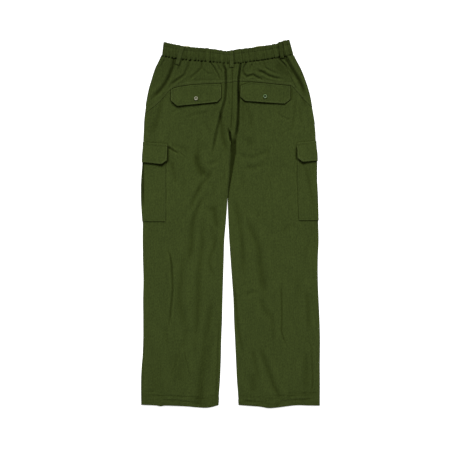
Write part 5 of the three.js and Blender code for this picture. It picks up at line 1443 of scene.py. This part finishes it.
def waist_tape():
    """A pale tape along the inside of the front band."""
    x = np.linspace(BAND_TOP_ENDS["left"] + 14, BAND_TOP_ENDS["right"] - 14, 150)[None, :]
    drop = np.linspace(-16, 0, 14)[:, None]
    y = waist_top(x) + front_rise(x) + drop - 0.1
    top = FRONT_BAND_TOP + LAY_GAP + FACING_CLOTH
    z = top - 0.25 * turned(-drop, 1.2) + ripple(x, y, 8, 14, 14, 0.04)
    look = {"thickness": FACING_CLOTH - 0.1, "material": TAPE, "slot": "cream_tape"}
    cloth("waistband_facing", grid(x, y, z), False, **look)


back_band()
front_band()
waist_tape()

# %% [markdown]
# ## Cargo pockets
#
# A cargo pocket wraps the outseam, over the back, round the side and under the front, and its flap
# wraps over it. One coordinate runs all the way round: q is how far in from the side a point is,
# positive on the back and negative on the front, and the last 6 mm each way are the turn.

# %% Round the outseam
POCKET_BULGE = {"left": 4.6, "right": 0.0}
POCKET_TALL, POCKET_HEM, FLAP_TALL = 199, 16, 57
POCKET_HEM_STOPS = [0, 0.5, 1.2, 2.2, 3.5, 5, 7, 9, 11, 13, 15, 17, 19]
CORNER_CUT, CORNER_SLANT = 14.5, 0.9
RIM_STOPS = np.array([0, 0.4, 1.0, 1.8, 2.8, 3.8, 4.8, 5.5, 6.2, 7.2])


def wrap(side, q, y, off, lift, bulge):
    """Points off the leg by off, all round the side: a half turn while |q| < 6 mm, and the flat
    faces beyond it. lift raises the back, and bulge swells the turn."""
    s = SIGN[side]
    inn = outer_x(side, y) - s * EDGE_ROLL
    x_flat = outer_x(side, y) - s * np.abs(q)
    a = np.clip(q / EDGE_ROLL, -1, 1) * np.pi / 2
    middle = underside(inn, y) + LOFT / 2
    reach = (EDGE_ROLL + off) * np.cos(a) + bulge * np.maximum(0, np.cos(a + 0.35)) ** 2
    on_turn = np.abs(q) < EDGE_ROLL
    x = np.where(on_turn, inn + s * reach, x_flat)
    up, down = bridging(inn, y) + LOFT - middle + off + lift, LOFT / 2 + off
    z_turn = middle + np.where(a > 0, up, down) * np.sin(a)
    z_flat = np.where(q > 0, bridging(x_flat, y) + LOFT + off + lift, underside(x_flat, y) - off)
    return grid(x, y, np.maximum(np.where(on_turn, z_turn, z_flat), FLOOR_GAP))


def wrap_stops(width, front, step):
    """Stations of q from the back's inner edge, round the turn, to the front's inner edge."""
    rim = np.array([0, 0.3, 0.8, 1.5, 2.5, 3.5, 4.5, 5.0, 5.5, 6.0, 7.0, 8.5])
    back = np.arange(width - 10, EDGE_ROLL, -step)
    turn = EDGE_ROLL * np.sin(np.linspace(np.pi / 2, -np.pi / 2, 19))
    under = -np.arange(EDGE_ROLL + 3, front - 9, 3.5)
    return np.concatenate([width - rim, back, turn, under, -(front - rim[::-1])])


def cargo_flap_shape(side, q):
    """Bottom and top of the flap at each q: straight edges with a slanted corner at each end."""
    f = CARGO_FLAPS[side]
    share = clamp(np.abs(q) / f["width"])
    top, bottom = lerp(*f["top"], share), lerp(*f["bottom"], share)
    to_end = np.where(q > 0, f["width"] - q, f["front"] + q)
    corner = np.maximum(0, CORNER_CUT - to_end) * CORNER_SLANT
    return bottom + corner, top, to_end


def pocket_painted_shade(side, q, y):
    """Painted shade on a pocket: a painted shadow under the flap's edge, widest near its inner corner;
    on the left a dark painted crescent where the bellows shows beyond the back of the pocket; on the
    right painted shade along a crease; and a faint painted line near the bottom edge."""
    bottom, _, to_end = cargo_flap_shape(side, q)
    corner = 0.6 * beside(to_end, 14, 14)
    total = 0.35 * beside(bottom - y, 2.6, 2.6) + corner * beside(bottom - y, 4.2, 4.2)
    total = total * (q > 0)
    if side == "left":
        crescent = smooth((y - 30) / 60) * smooth((186 - y) / 14) * smooth((q + 14) / 8)
        total = total + crescent * (0.9 * beside(q, 3.7, 1.2) + 0.35 * smooth((3.4 - q) / 2))
    else:
        crease = q - np.interp(y, [50, 95, 130, 160], [14, 19, 24.5, 31])
        strength = 0.26 * smooth((y - 40) / 30) * smooth((168 - y) / 14)
        total = total + strength * bell(crease / 4.5)
    return total + 0.1 * beside(y, POCKET_BOTTOM_Y[side] + 4.4, 0.9)


def cargo_pocket(side):
    """A pocket round the outseam, with stitched edges, a hem line and a swell at the turn."""
    width, front = POCKET_BACK_WIDTH[side], POCKET_FRONT_WIDTH[side]
    q = wrap_stops(width, front, 1.8)[None, :]
    v = np.concatenate([POCKET_HEM_STOPS, np.arange(22, POCKET_TALL, 3), [POCKET_TALL]])[:, None]
    y = lerp(POCKET_BOTTOM_Y[side], POCKET_TOP_Y, v / POCKET_TALL) + 0 * q
    q = q + 0 * v
    d = np.minimum(np.where(q > 0, width - q, front + q), v)
    hem = 0.3 * beside(v, POCKET_HEM, 1.0)
    lift = turned_edge(d, line=4.0, puff=0.25, groove=0.3) - hem + 0.45
    lift = lift + ripple(q, y, 40 + (side == "left"), 22, 70, 0.14) * smooth(d / 12)
    swell = POCKET_BULGE[side] * np.sin(np.pi * clamp(v / 166))
    points = wrap(side, q, y, LAY_GAP + CLOTH, np.where(q > 0, lift, 0), swell)
    wear_and_highlight = 0.4 * edge_wear_and_highlight(d, 1.8) + 0.2 * edge_wear_and_highlight(q, 4.5)
    look = {"wear_and_highlight": wear_and_highlight, "painted_shade": pocket_painted_shade(side, q, y), "material": TWILL}
    cloth(f"cargo_pocket_{side}", points, side == "left", **look)
    return points


def cargo_flap_lift(side, q, y):
    """The flap stands off towards its lower edge, most at the inner corner, and its rim is turned
    and stitched."""
    bottom, top, to_end = cargo_flap_shape(side, q)
    down = clamp((top - y) / 56)
    stand = 4.4 * down**1.1 + 2.6 * bell(to_end / 20) * down**2 - smooth(1 - (top - y) / 9)
    cut = np.maximum(0, CORNER_CUT - to_end) * CORNER_SLANT
    slant = (to_end + (y - (bottom - cut)) - CORNER_CUT) / 1.41
    d = np.minimum(np.minimum(to_end, y - bottom), np.where(to_end < CORNER_CUT, slant, 99))
    d = np.maximum(np.minimum(d, top - y), 0)
    stand = stand * (q > -EDGE_ROLL) * smooth((q + EDGE_ROLL) / 12)
    return stand + turned_edge(d) - 0.35 * beside(top - y, 6, 0.9), d


def cargo_flap(side):
    """A flap round the outseam, over the top of its pocket. It steps up where it passes the
    pocket's top edge."""
    f = CARGO_FLAPS[side]
    q = wrap_stops(f["width"], f["front"], 1.6)[None, :]
    top_stops = FLAP_TALL - np.array([9, 7.2, 6.4, 5.6, 4.6, 3.4, 2.2, 1.2, 0.5, 0])
    v = np.concatenate([RIM_STOPS, [9], np.arange(11, 46, 1.7), top_stops])[:, None] / FLAP_TALL
    bottom, top, _ = cargo_flap_shape(side, q)
    y = lerp(bottom, top, v)
    q = q + 0 * v
    lift, d = cargo_flap_lift(side, q, y)
    off = LAY_GAP + FLAP_CLOTH + (CLOTH + LAY_GAP) * smooth((226 - y) / 26)
    points = wrap(side, q, y, off, lift + LAY_GAP + FLAP_CLOTH + CLOTH + LAY_GAP - off, 0)
    to_top = top - y
    # Wear on the rim that is also a painted highlight, weaker along the top edge; painted shade in the
    # groove of the top stitching and along the top edge.
    wear_and_highlight = 0.9 * edge_wear_and_highlight(d, 2.2) * (1 - 0.6 * smooth((4 - to_top) / 2)) + 0.2 * edge_wear_and_highlight(q, 4.5)
    painted_shade = 0.42 * beside(to_top, 7.2, 1.4) + 0.3 * beside(to_top, 0.2, 1.4)
    look = {"thickness": FLAP_CLOTH, "wear_and_highlight": wear_and_highlight, "painted_shade": painted_shade, "material": TWILL}
    cloth(f"cargo_flap_{side}", points, side == "left", **look)
    return points


pocket_points = {side: cargo_pocket(side) for side in SIGN}
flap_points = {side: cargo_flap(side) for side in SIGN}

# %% [markdown]
# ## Back pocket flaps
#
# Each back pocket has a welt, covered by a flap of two layers, turned and stitched near its edge.
# The left flap curls away from the seat at its outer lower corner, the right one in its middle, and
# both throw the narrow dark shadow that draws their outline, made darker by a painted shadow on the
# cloth round them.

# %% Back flaps and welts
BACK_FLAP_SIZE = (149, 52)
BACK_FLAP_STAND = {"left": 2.8, "right": 2.1}
WELT_ENDS = {"left": (-160, -40, 359), "right": (42, 164, 362)}


def along_edge(rows, s):
    """X and Y at shares s of the way along a row of points."""
    p = np.array(rows, float)
    x = lerp(p[0, 0], p[-1, 0], s)
    order = np.argsort(p[:, 0])
    return x, np.interp(x, p[order, 0], p[order, 1])


def back_flap_height(side, x, y):
    """Height of a back flap, and the distance to its edge: it lies on the back, stands off towards
    its lower edge and bows a little. The left one curls at its outer corner, the right one in the
    middle."""
    f = BACK_FLAPS[side]
    d = outline_distance(f["top"] + f["bottom"][::-1], x, y)
    down = clamp((404 - y) / 55)
    corner_x, corner_y = f["bottom"][0]
    corner = bell(np.hypot(x - corner_x, y - corner_y + 6) / 34)
    curl = 2.2 * corner if side == "left" else 1.4 * beside(x, 84, 40) - corner
    stand = BACK_FLAP_STAND[side] * down**1.2 + curl * down - 0.9 * smooth(1 - down * 4)
    bow = ripple(x, y, 60 + (side == "left"), 60, 60, 0.2) * smooth(d / 12)
    return back_height(side, x, y) + LAY_GAP + 0.6 + FLAP_CLOTH + stand + bow + turned_edge(d), d


def back_flap(side):
    """A flap of two layers, with a ring of painted shadow round its button."""
    f = BACK_FLAPS[side]
    rim = RIM_STOPS / BACK_FLAP_SIZE[0]
    s = np.concatenate([rim, np.linspace(0.06, 0.94, 84), 1 - rim[::-1]])[None, :]
    rim = RIM_STOPS / BACK_FLAP_SIZE[1]
    v = np.concatenate([rim, np.linspace(0.165, 0.835, 22), 1 - rim[::-1]])[:, None]
    low_x, low_y = along_edge(f["bottom"], s)
    top_x, top_y = along_edge(f["top"], s)
    x, y = lerp(low_x, top_x, v), lerp(low_y, top_y, v)
    z, d = back_flap_height(side, x, y)
    # Wear on the rim that is also a painted highlight, none along the top edge; below, a ring of
    # painted shadow round the button.
    wear_and_highlight = 0.9 * edge_wear_and_highlight(d, 2.2) * smooth((top_y - y - 1) / 5)
    low, high = (np.array(c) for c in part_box(f"back_button_{side}"))
    bx, by, _ = (low + high) / 2 / MM
    painted_shade = (0.34 if side == "left" else 0.5) * beside(np.hypot(x - bx, y - by), 6.4, 1.1)
    look = {"thickness": FLAP_CLOTH, "wear_and_highlight": wear_and_highlight, "painted_shade": painted_shade, "material": TWILL}
    cloth(f"back_flap_{side}", grid(x, y, z), side == "right", **look)


def back_welt(side):
    """A narrow folded lip under the flap, flat but for its two turned edges."""
    start_x, end_x, middle_y = WELT_ENDS[side]
    x = np.linspace(start_x, end_x, 60)[None, :]
    y = np.linspace(-5, 5, 12)[:, None] + middle_y
    z = back_height(side, x + 0 * y, y + 0 * x) + 0.85 - 0.3 * turned(5 - np.abs(y - middle_y), 1.2)
    look = {"thickness": 0.45, "material": LINING_TWILL, "slot": "pocket_twill"}
    cloth(f"back_welt_{side}", grid(x, y, z), False, **look)


for side in SIGN:
    back_flap(side)
for side in SIGN:
    back_welt(side)

# %% [markdown]
# ## Belt loops, fly and buttons
#
# A belt loop is a folded strip with a row of stitches near each edge, tacked down at both ends. The
# fly placket and its button are on the front, under the garment here. A button is a dished disc of
# resin with four holes, sewn on with a short shank of thread.

# %% Belt loops and fly
LOOP_CLOTH = 1.4
FRONT_LOOPS = {
    "belt_loop_front_left": ((-98, 507), (-100, 455)),
    "belt_loop_front_right": ((96, 512), (98, 457)),
}


def over_back(x, y):
    """Height just over the gathers of the band, and over the yoke below the seam."""
    side_height = np.where(x < 5, back_height("left", x, y), back_height("right", x, y))
    low = side_height + 1.3
    crest = BACK_BAND_TOP + 1.9
    on_band = smooth((y - waist_seam(x) + 10) / 13)
    return lerp(low, np.maximum(crest, low), on_band)


def belt_loop(name, ends, back):
    """A strip between two ends, with a groove near each edge and both ends tacked down."""
    (tx, ty), (bx, by) = ends
    s = np.linspace(0, 1, 50)[:, None]
    w = np.array([0.25, 0.5, 0.68, 0.8, 0.9, 0.97, 1])
    w = np.concatenate([-w[::-1], [0], w])[None, :]
    length = np.hypot(tx - bx, ty - by)
    across_x, across_y = (ty - by) / length, (bx - tx) / length
    x = lerp(bx, tx, s) + across_x * w * LOOP_WIDTH / 2
    y = lerp(by, ty, s) + across_y * w * LOOP_WIDTH / 2
    edge = (1 - np.abs(w)) * LOOP_WIDTH / 2
    tack = np.minimum(s, 1 - s) * length
    rise = 0.5 * smooth(tack / 7) - 0.5 * turned(edge, 0.9) - 0.22 * beside(edge, 1.8, 0.6)
    if back:
        z = over_back(lerp(bx, tx, s), lerp(by, ty, s)) + LOOP_CLOTH + rise
    else:
        z = BAND_FLOOR - LAY_GAP - LOOP_CLOTH - rise * 0.5
    points = grid(x, y, z)
    wear_and_highlight = (0.35 if tx < 100 else 0.0) + 0.3 * edge_wear_and_highlight(edge, 1.2)
    # The right back loop carries painted shade all over.
    painted_shade = 0.2 if tx > 100 and back else 0.0
    look = {"thickness": LOOP_CLOTH, "wear_and_highlight": wear_and_highlight, "painted_shade": painted_shade, "material": TWILL}
    cloth(name, points, not back, **look)
    return points


loop_points = {name: belt_loop(name, ends, True) for name, ends in BACK_LOOPS.items()}
loop_points |= {name: belt_loop(name, ends, False) for name, ends in FRONT_LOOPS.items()}

FLY = {"outer": -38.0, "inner": 2.5, "bottom": 318.0, "curve": 355.0}


def fly():
    """A strip whose lower end is a quarter of an ellipse."""
    y_curve = lerp(FLY["bottom"], FLY["curve"], np.linspace(0, 1, 26) ** 1.7)
    y = np.concatenate([y_curve, np.linspace(360, WAIST_MIDDLE_Y - 2, 28)])[:, None]
    curve = clamp((FLY["curve"] - y) / (FLY["curve"] - FLY["bottom"]))
    out_x = lerp(FLY["outer"], FLY["inner"] - 6, 1 - np.sqrt(1 - curve**2))
    s = np.concatenate([np.linspace(0, 0.9, 16), [0.93, 0.96, 0.98, 1]])[None, :]
    x = lerp(FLY["inner"], out_x, s)
    edge = np.abs(x - out_x)
    z = underside(x, y) - LAY_GAP - CLOTH + 0.4 * turned(edge, 1.2)
    points = grid(x, y, np.maximum(z, FLOOR_GAP))
    cloth("fly_placket", points, False, wear_and_highlight=0.4 * edge_wear_and_highlight(edge, 1.5), material=TWILL)


fly()


# %% Buttons
RIM_SHARE = 0.74
HOLE_OFFSET, HOLE_RADIUS, HOLE_DEPTH = 1.5, 0.65, 1.5
DISH_POINTS = 28


def button(name, material, facing, dish_shade, dish):
    """A lathed disc. Its profile runs from the middle of the dish over the rim and down to the
    middle of the back, and the four holes are sunk into the dish."""
    low, high = (np.array(c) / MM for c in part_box(name))
    radius, tall = RIM_SHARE * (high[0] - low[0]) / 2, high[2] - low[2]
    rim = np.radians(np.linspace(90, -90, 13))
    dish_r, dish_h = np.linspace(0.02, radius - 2.6, DISH_POINTS), np.full(DISH_POINTS, tall - 0.85)
    bank_r, bank_h = radius - np.array([2.2, 1.7, 1.2]), tall - np.array([0.7, 0.25, 0.04])
    rim_r, rim_h = radius - 0.8 + 0.8 * np.cos(rim), tall / 2 + (tall / 2) * np.sin(rim)
    r = np.concatenate([dish_r, bank_r, rim_r, [radius * 0.5, 0.02]])
    h = np.concatenate([dish_h, bank_h, rim_h, [0, 0]])
    angle = np.linspace(0, 2 * np.pi, 73)[None, :]
    x, y = r[:, None] * np.cos(angle), r[:, None] * np.sin(angle)
    hole = np.hypot(np.abs(x) - HOLE_OFFSET, np.abs(y) - HOLE_OFFSET)
    in_dish = (np.arange(len(r)) < DISH_POINTS)[:, None]
    z = h[:, None] - HOLE_DEPTH * in_dish * (1 - smooth((hole - HOLE_RADIUS) / 0.35))
    centre = (low + high) / 2
    if facing < 0:
        y, z = -y, tall - z
    mesh = mesh_from_grid(name, grid(x + centre[0], y + centre[1], z + low[2]), True)
    # Painted shade in the dish: dark in its middle, the resin's own colour on the rim.
    paint(mesh, "painted_brightness", lerp(dish_shade, 1, smooth((r[:, None] - dish) / 1.2)) + 0 * angle)
    shape = bmesh.new()
    shape.from_mesh(mesh)
    bmesh.ops.remove_doubles(shape, verts=shape.verts, dist=0.00004)
    bmesh.ops.recalc_face_normals(shape, faces=shape.faces)
    shape.to_mesh(mesh)
    shape.free()
    piece = bpy.data.objects.new(name + "_resin", mesh)
    bpy.context.scene.collection.objects.link(piece)
    mesh.materials.append(material)
    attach(piece, "root")
    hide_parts(name)
    return centre, low[2], high[2]


buttons = {
    "back_button_left": button("back_button_left", HORN_PAINTED_REFLECTION, 1, 0.45, 2.2),
    "back_button_right": button("back_button_right", HORN_GREEN, 1, 0.08, 2.8),
    "waist_button": button("waist_button", HORN_PAINTED_REFLECTION, -1, 0.45, 2.2),
}
print({name: [round(float(v), 1) for v in place[0]] for name, place in buttons.items()})

# %% [markdown]
# ## Stitching
#
# The garment is topstitched in thread close to the cloth's colour. Each stitch is a short, thin
# capsule, half sunk in its groove: six sides and two tips, a shape light enough to repeat a few
# thousand times.

# %% One row of stitches
STITCH = (3.2, 2.3, 0.3)


def capsule():
    """Points (along, aside, up) of one stitch and its triangles: two rings of six and two tips."""
    a = np.arange(6) * np.pi / 3
    ring = np.stack([0 * a, np.cos(a), np.sin(a)], 1)
    points = np.vstack([ring + [-0.36, 0, 0], ring + [0.36, 0, 0], [[-0.5, 0, -0.5], [0.5, 0, -0.5]]])
    k, n = np.arange(6), (np.arange(6) + 1) % 6
    tris = [np.stack([k, n, n + 6], 1), np.stack([k, n + 6, k + 6], 1)]
    tris += [np.stack([n, k, k * 0 + 12], 1), np.stack([k + 6, n + 6, k * 0 + 13], 1)]
    return points, np.vstack(tris)


def stitches(name, paths, up=1.0, size=STITCH, thread=THREAD):
    """Stitches along each path of points, on the side of the cloth that up says: +1 for the back,
    -1 for the front. size is their pitch, their length and the radius of the thread."""
    pitch, long, thick = size
    shape, tris = capsule()
    starts, ends = [], []
    for path in paths:
        path = np.asarray(path, float)
        run = np.concatenate([[0], np.cumsum(np.linalg.norm(np.diff(path, axis=0), axis=1))])
        s = np.arange(pitch / 2, run[-1] - pitch / 2, pitch)
        for offset, bag in ((-long / 2, starts), (long / 2, ends)):
            bag.append(np.stack([np.interp(s + offset, run, path[:, c]) for c in range(3)], 1))
    a, b = np.vstack(starts), np.vstack(ends)
    way = (b - a) / np.linalg.norm(b - a, axis=1)[:, None]
    aside = np.cross(np.tile([0, 0, up], (len(way), 1)), way)
    aside = aside / np.maximum(np.linalg.norm(aside, axis=1), 1e-6)[:, None]
    rise = np.cross(way, aside)
    middle = (a + b) / 2 + rise * 0.05
    points = (
        middle[:, None, :]
        + shape[None, :, 0:1] * long * way[:, None, :]
        + shape[None, :, 1:2] * thick * aside[:, None, :]
        + shape[None, :, 2:3] * thick * rise[:, None, :]
    )
    faces = (tris[None] + 14 * np.arange(len(a))[:, None, None]).reshape(-1, 3)
    mesh = bpy.data.meshes.new(name)
    mesh.from_pydata((points.reshape(-1, 3) * MM).tolist(), [], faces.tolist())
    mesh.polygons.foreach_set("use_smooth", np.ones(len(faces), bool))
    piece = bpy.data.objects.new(name, mesh)
    bpy.context.scene.collection.objects.link(piece)
    mesh.materials.append(thread)
    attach(piece, "root")
    print(name, len(a), "stitches")
    return piece


def inset(rows, distance):
    """A closed outline moved in by distance: each side is shifted square to itself, and each
    corner is where two shifted sides cross."""
    p = np.array(rows, float)
    turn = np.sum(p[:, 0] * np.roll(p[:, 1], -1) - np.roll(p[:, 0], -1) * p[:, 1])
    way = np.roll(p, -1, 0) - p
    way = way / np.linalg.norm(way, axis=1)[:, None]
    square = np.stack([-way[:, 1], way[:, 0]], 1) * np.sign(turn)
    before_way, before_square = np.roll(way, 1, 0), np.roll(square, 1, 0)
    cross = before_way[:, 0] * way[:, 1] - before_way[:, 1] * way[:, 0]
    gap = (square - before_square) * distance
    s = (gap[:, 0] * way[:, 1] - gap[:, 1] * way[:, 0]) / np.where(np.abs(cross) < 1e-3, 1e9, cross)
    return p + before_square * distance + before_way * s[:, None]


def dense(path, step=1.5):
    """The same path with a point every step mm."""
    path = np.asarray(path, float)
    run = np.concatenate([[0], np.cumsum(np.hypot(*np.diff(path[:, :2], axis=0).T))])
    s = np.arange(0, run[-1] + step, step)
    return np.stack([np.interp(s, run, path[:, c]) for c in range(path.shape[1])], 1)


# %% Stitch the garment
def column(x, y, z):
    """A line of points."""
    return np.column_stack([x, y, z])


FLAP_STITCHING = 5.5
for side in SIGN:
    s = SIGN[side]
    f = BACK_FLAPS[side]
    ring = inset(f["top"] + f["bottom"][::-1], FLAP_STITCHING)
    x, y = dense(np.vstack([ring, ring[:1]])).T
    line = column(x, y, back_flap_height(side, x, y)[0])
    stitches(f"back_flap_{side}_stitching", [line])

    x = np.linspace(outer_x(side, 380.0) - s * 14, s * 2 + 5, 260)
    rows = []
    for up in YOKE_STITCHING:
        y = yoke_seam_y(side, x) + up
        rows.append(column(x, y, yoke_height(side, x, y, waist_share(x * 0.93))))
    stitches(f"back_yoke_{side}_stitching", rows)

    share = np.linspace(0.02, 0.98, 220)
    x = lerp(outer_x(side, HEM_Y), inner_x(side, HEM_Y), share)
    y = hem_y(x) + HEM_STITCHING
    line = column(x, y, rolled(side, x, y, leg_face(side, x, y), LAYER))
    stitches(f"back_leg_{side}_hem_stitching", [line])
    line = column(x, y, front_height(side, x, y) + 0.25)
    stitches(f"front_leg_{side}_hem_stitching", [line], up=-1)

    points = pocket_points[side]
    rows = [points[8:, 5], points[11, 5:-5]]
    stitches(f"cargo_pocket_{side}_stitching", rows)
    points = flap_points[side]
    rows = [points[7, 8:-8], points[7:-7, 8], points[-8, 8:-8]]
    stitches(f"cargo_flap_{side}_stitching", rows)

t = band_stops(320)
v = np.array([BAND_STITCHING / BAND_TALL])
line = band_grid(t, v, level, level, back_band_height, BAND_SEAM_Z + 0.1)[0, 9:-9]
stitches("waistband_back_stitching", [line + [0, 0, 0.1]])
for name, points in loop_points.items():
    rows = [points[2:-2, 4], points[2:-2, -5]]
    stitches(name + "_stitching", rows, up=1.0 if "back" in name else -1.0)


# %% Thread through the buttons
BUTTON_STITCH = (3.3, 3.2, 0.24)


def button_thread(name, facing):
    """Six strands over the holes, in two bars of three, lying in the button's dish."""
    (cx, cy, _), low, high = buttons[name]
    face = high - 0.7 if facing > 0 else low + 0.7
    rows = [cy + sy + k for sy in (-HOLE_OFFSET, HOLE_OFFSET) for k in (-0.4, 0.0, 0.4)]
    bars = [np.array([(cx - 1.7, y, face), (cx + 1.7, y, face)]) for y in rows]
    # The right button's thread is dark, adding to the painted shade in its dish.
    thread = DARK_THREAD if name == "back_button_right" else THREAD
    return stitches(name + "_thread", bars, up=facing, size=BUTTON_STITCH, thread=thread)


for name in buttons:
    button_thread(name, 1.0 if "back" in name else -1.0)
print("made", len(made), "cloth pieces")

# %% [markdown]
#
# Every cloth piece is a sheet: its size when cut flat, in metres, and how it is held. The panels
# lie on each other, and the gathered ones were cut longer than they look.

# %% Sheets
SHEETS = [
    # piece, width and length of the cut in mm, area of the cut in m2, how it is held, what it lies on
    ("back_leg_left", 262, 950, 0.228, "laid", ["front_leg_left"]),
    ("back_leg_right", 262, 950, 0.240, "laid", ["front_leg_right"]),
    ("front_leg_left", 262, 1018, 0.236, "laid", ["floor"]),
    ("front_leg_right", 262, 1018, 0.246, "laid", ["floor"]),
    ("front_pocket_facing_left", 100, 170, 0.0072, "laid", ["front_leg_left"]),
    ("front_pocket_facing_right", 88, 158, 0.0058, "laid", ["front_leg_right"]),
    ("back_yoke_left", 300, 150, 0.0240, "gathered", ["back_leg_left"]),
    ("back_yoke_right", 280, 150, 0.0205, "gathered", ["back_leg_right"]),
    ("waistband_back", 500, 42, None, "gathered", ["waistband_front"]),
    ("waistband_front", 382, 42, None, "laid", ["floor"]),
    ("waistband_facing", 352, 16, None, "laid", ["waistband_front"]),
    ("cargo_pocket_left", 195, 202, None, "folded", ["back_leg_left", "floor"]),
    ("cargo_pocket_right", 190, 198, None, "folded", ["back_leg_right", "floor"]),
    ("cargo_flap_left", 198, 62, None, "folded", ["cargo_pocket_left", "floor"]),
    ("cargo_flap_right", 192, 62, None, "folded", ["cargo_pocket_right", "floor"]),
    ("back_flap_left", 147, 64, 0.0079, "laid", ["back_leg_left"]),
    ("back_flap_right", 148, 62, 0.0078, "laid", ["back_leg_right"]),
    ("back_welt_left", 120, 10, None, "laid", ["back_leg_left"]),
    ("back_welt_right", 122, 10, None, "laid", ["back_leg_right"]),
    ("belt_loop_back_left", 12, 56, None, "laid", ["waistband_back"]),
    ("belt_loop_back_centre", 12, 51, None, "laid", ["waistband_back"]),
    ("belt_loop_back_right", 12, 59, None, "laid", ["waistband_back"]),
    ("belt_loop_front_left", 12, 53, None, "laid", ["floor"]),
    ("belt_loop_front_right", 12, 56, None, "laid", ["floor"]),
    ("fly_placket", 41, 147, 0.0055, "laid", ["floor"]),
]
for name, width, length, area, held, under in SHEETS:
    print(f"{name:28s} cut {area or width * length * MM * MM:.4f} m2, shows {made[name]:.4f} m2")
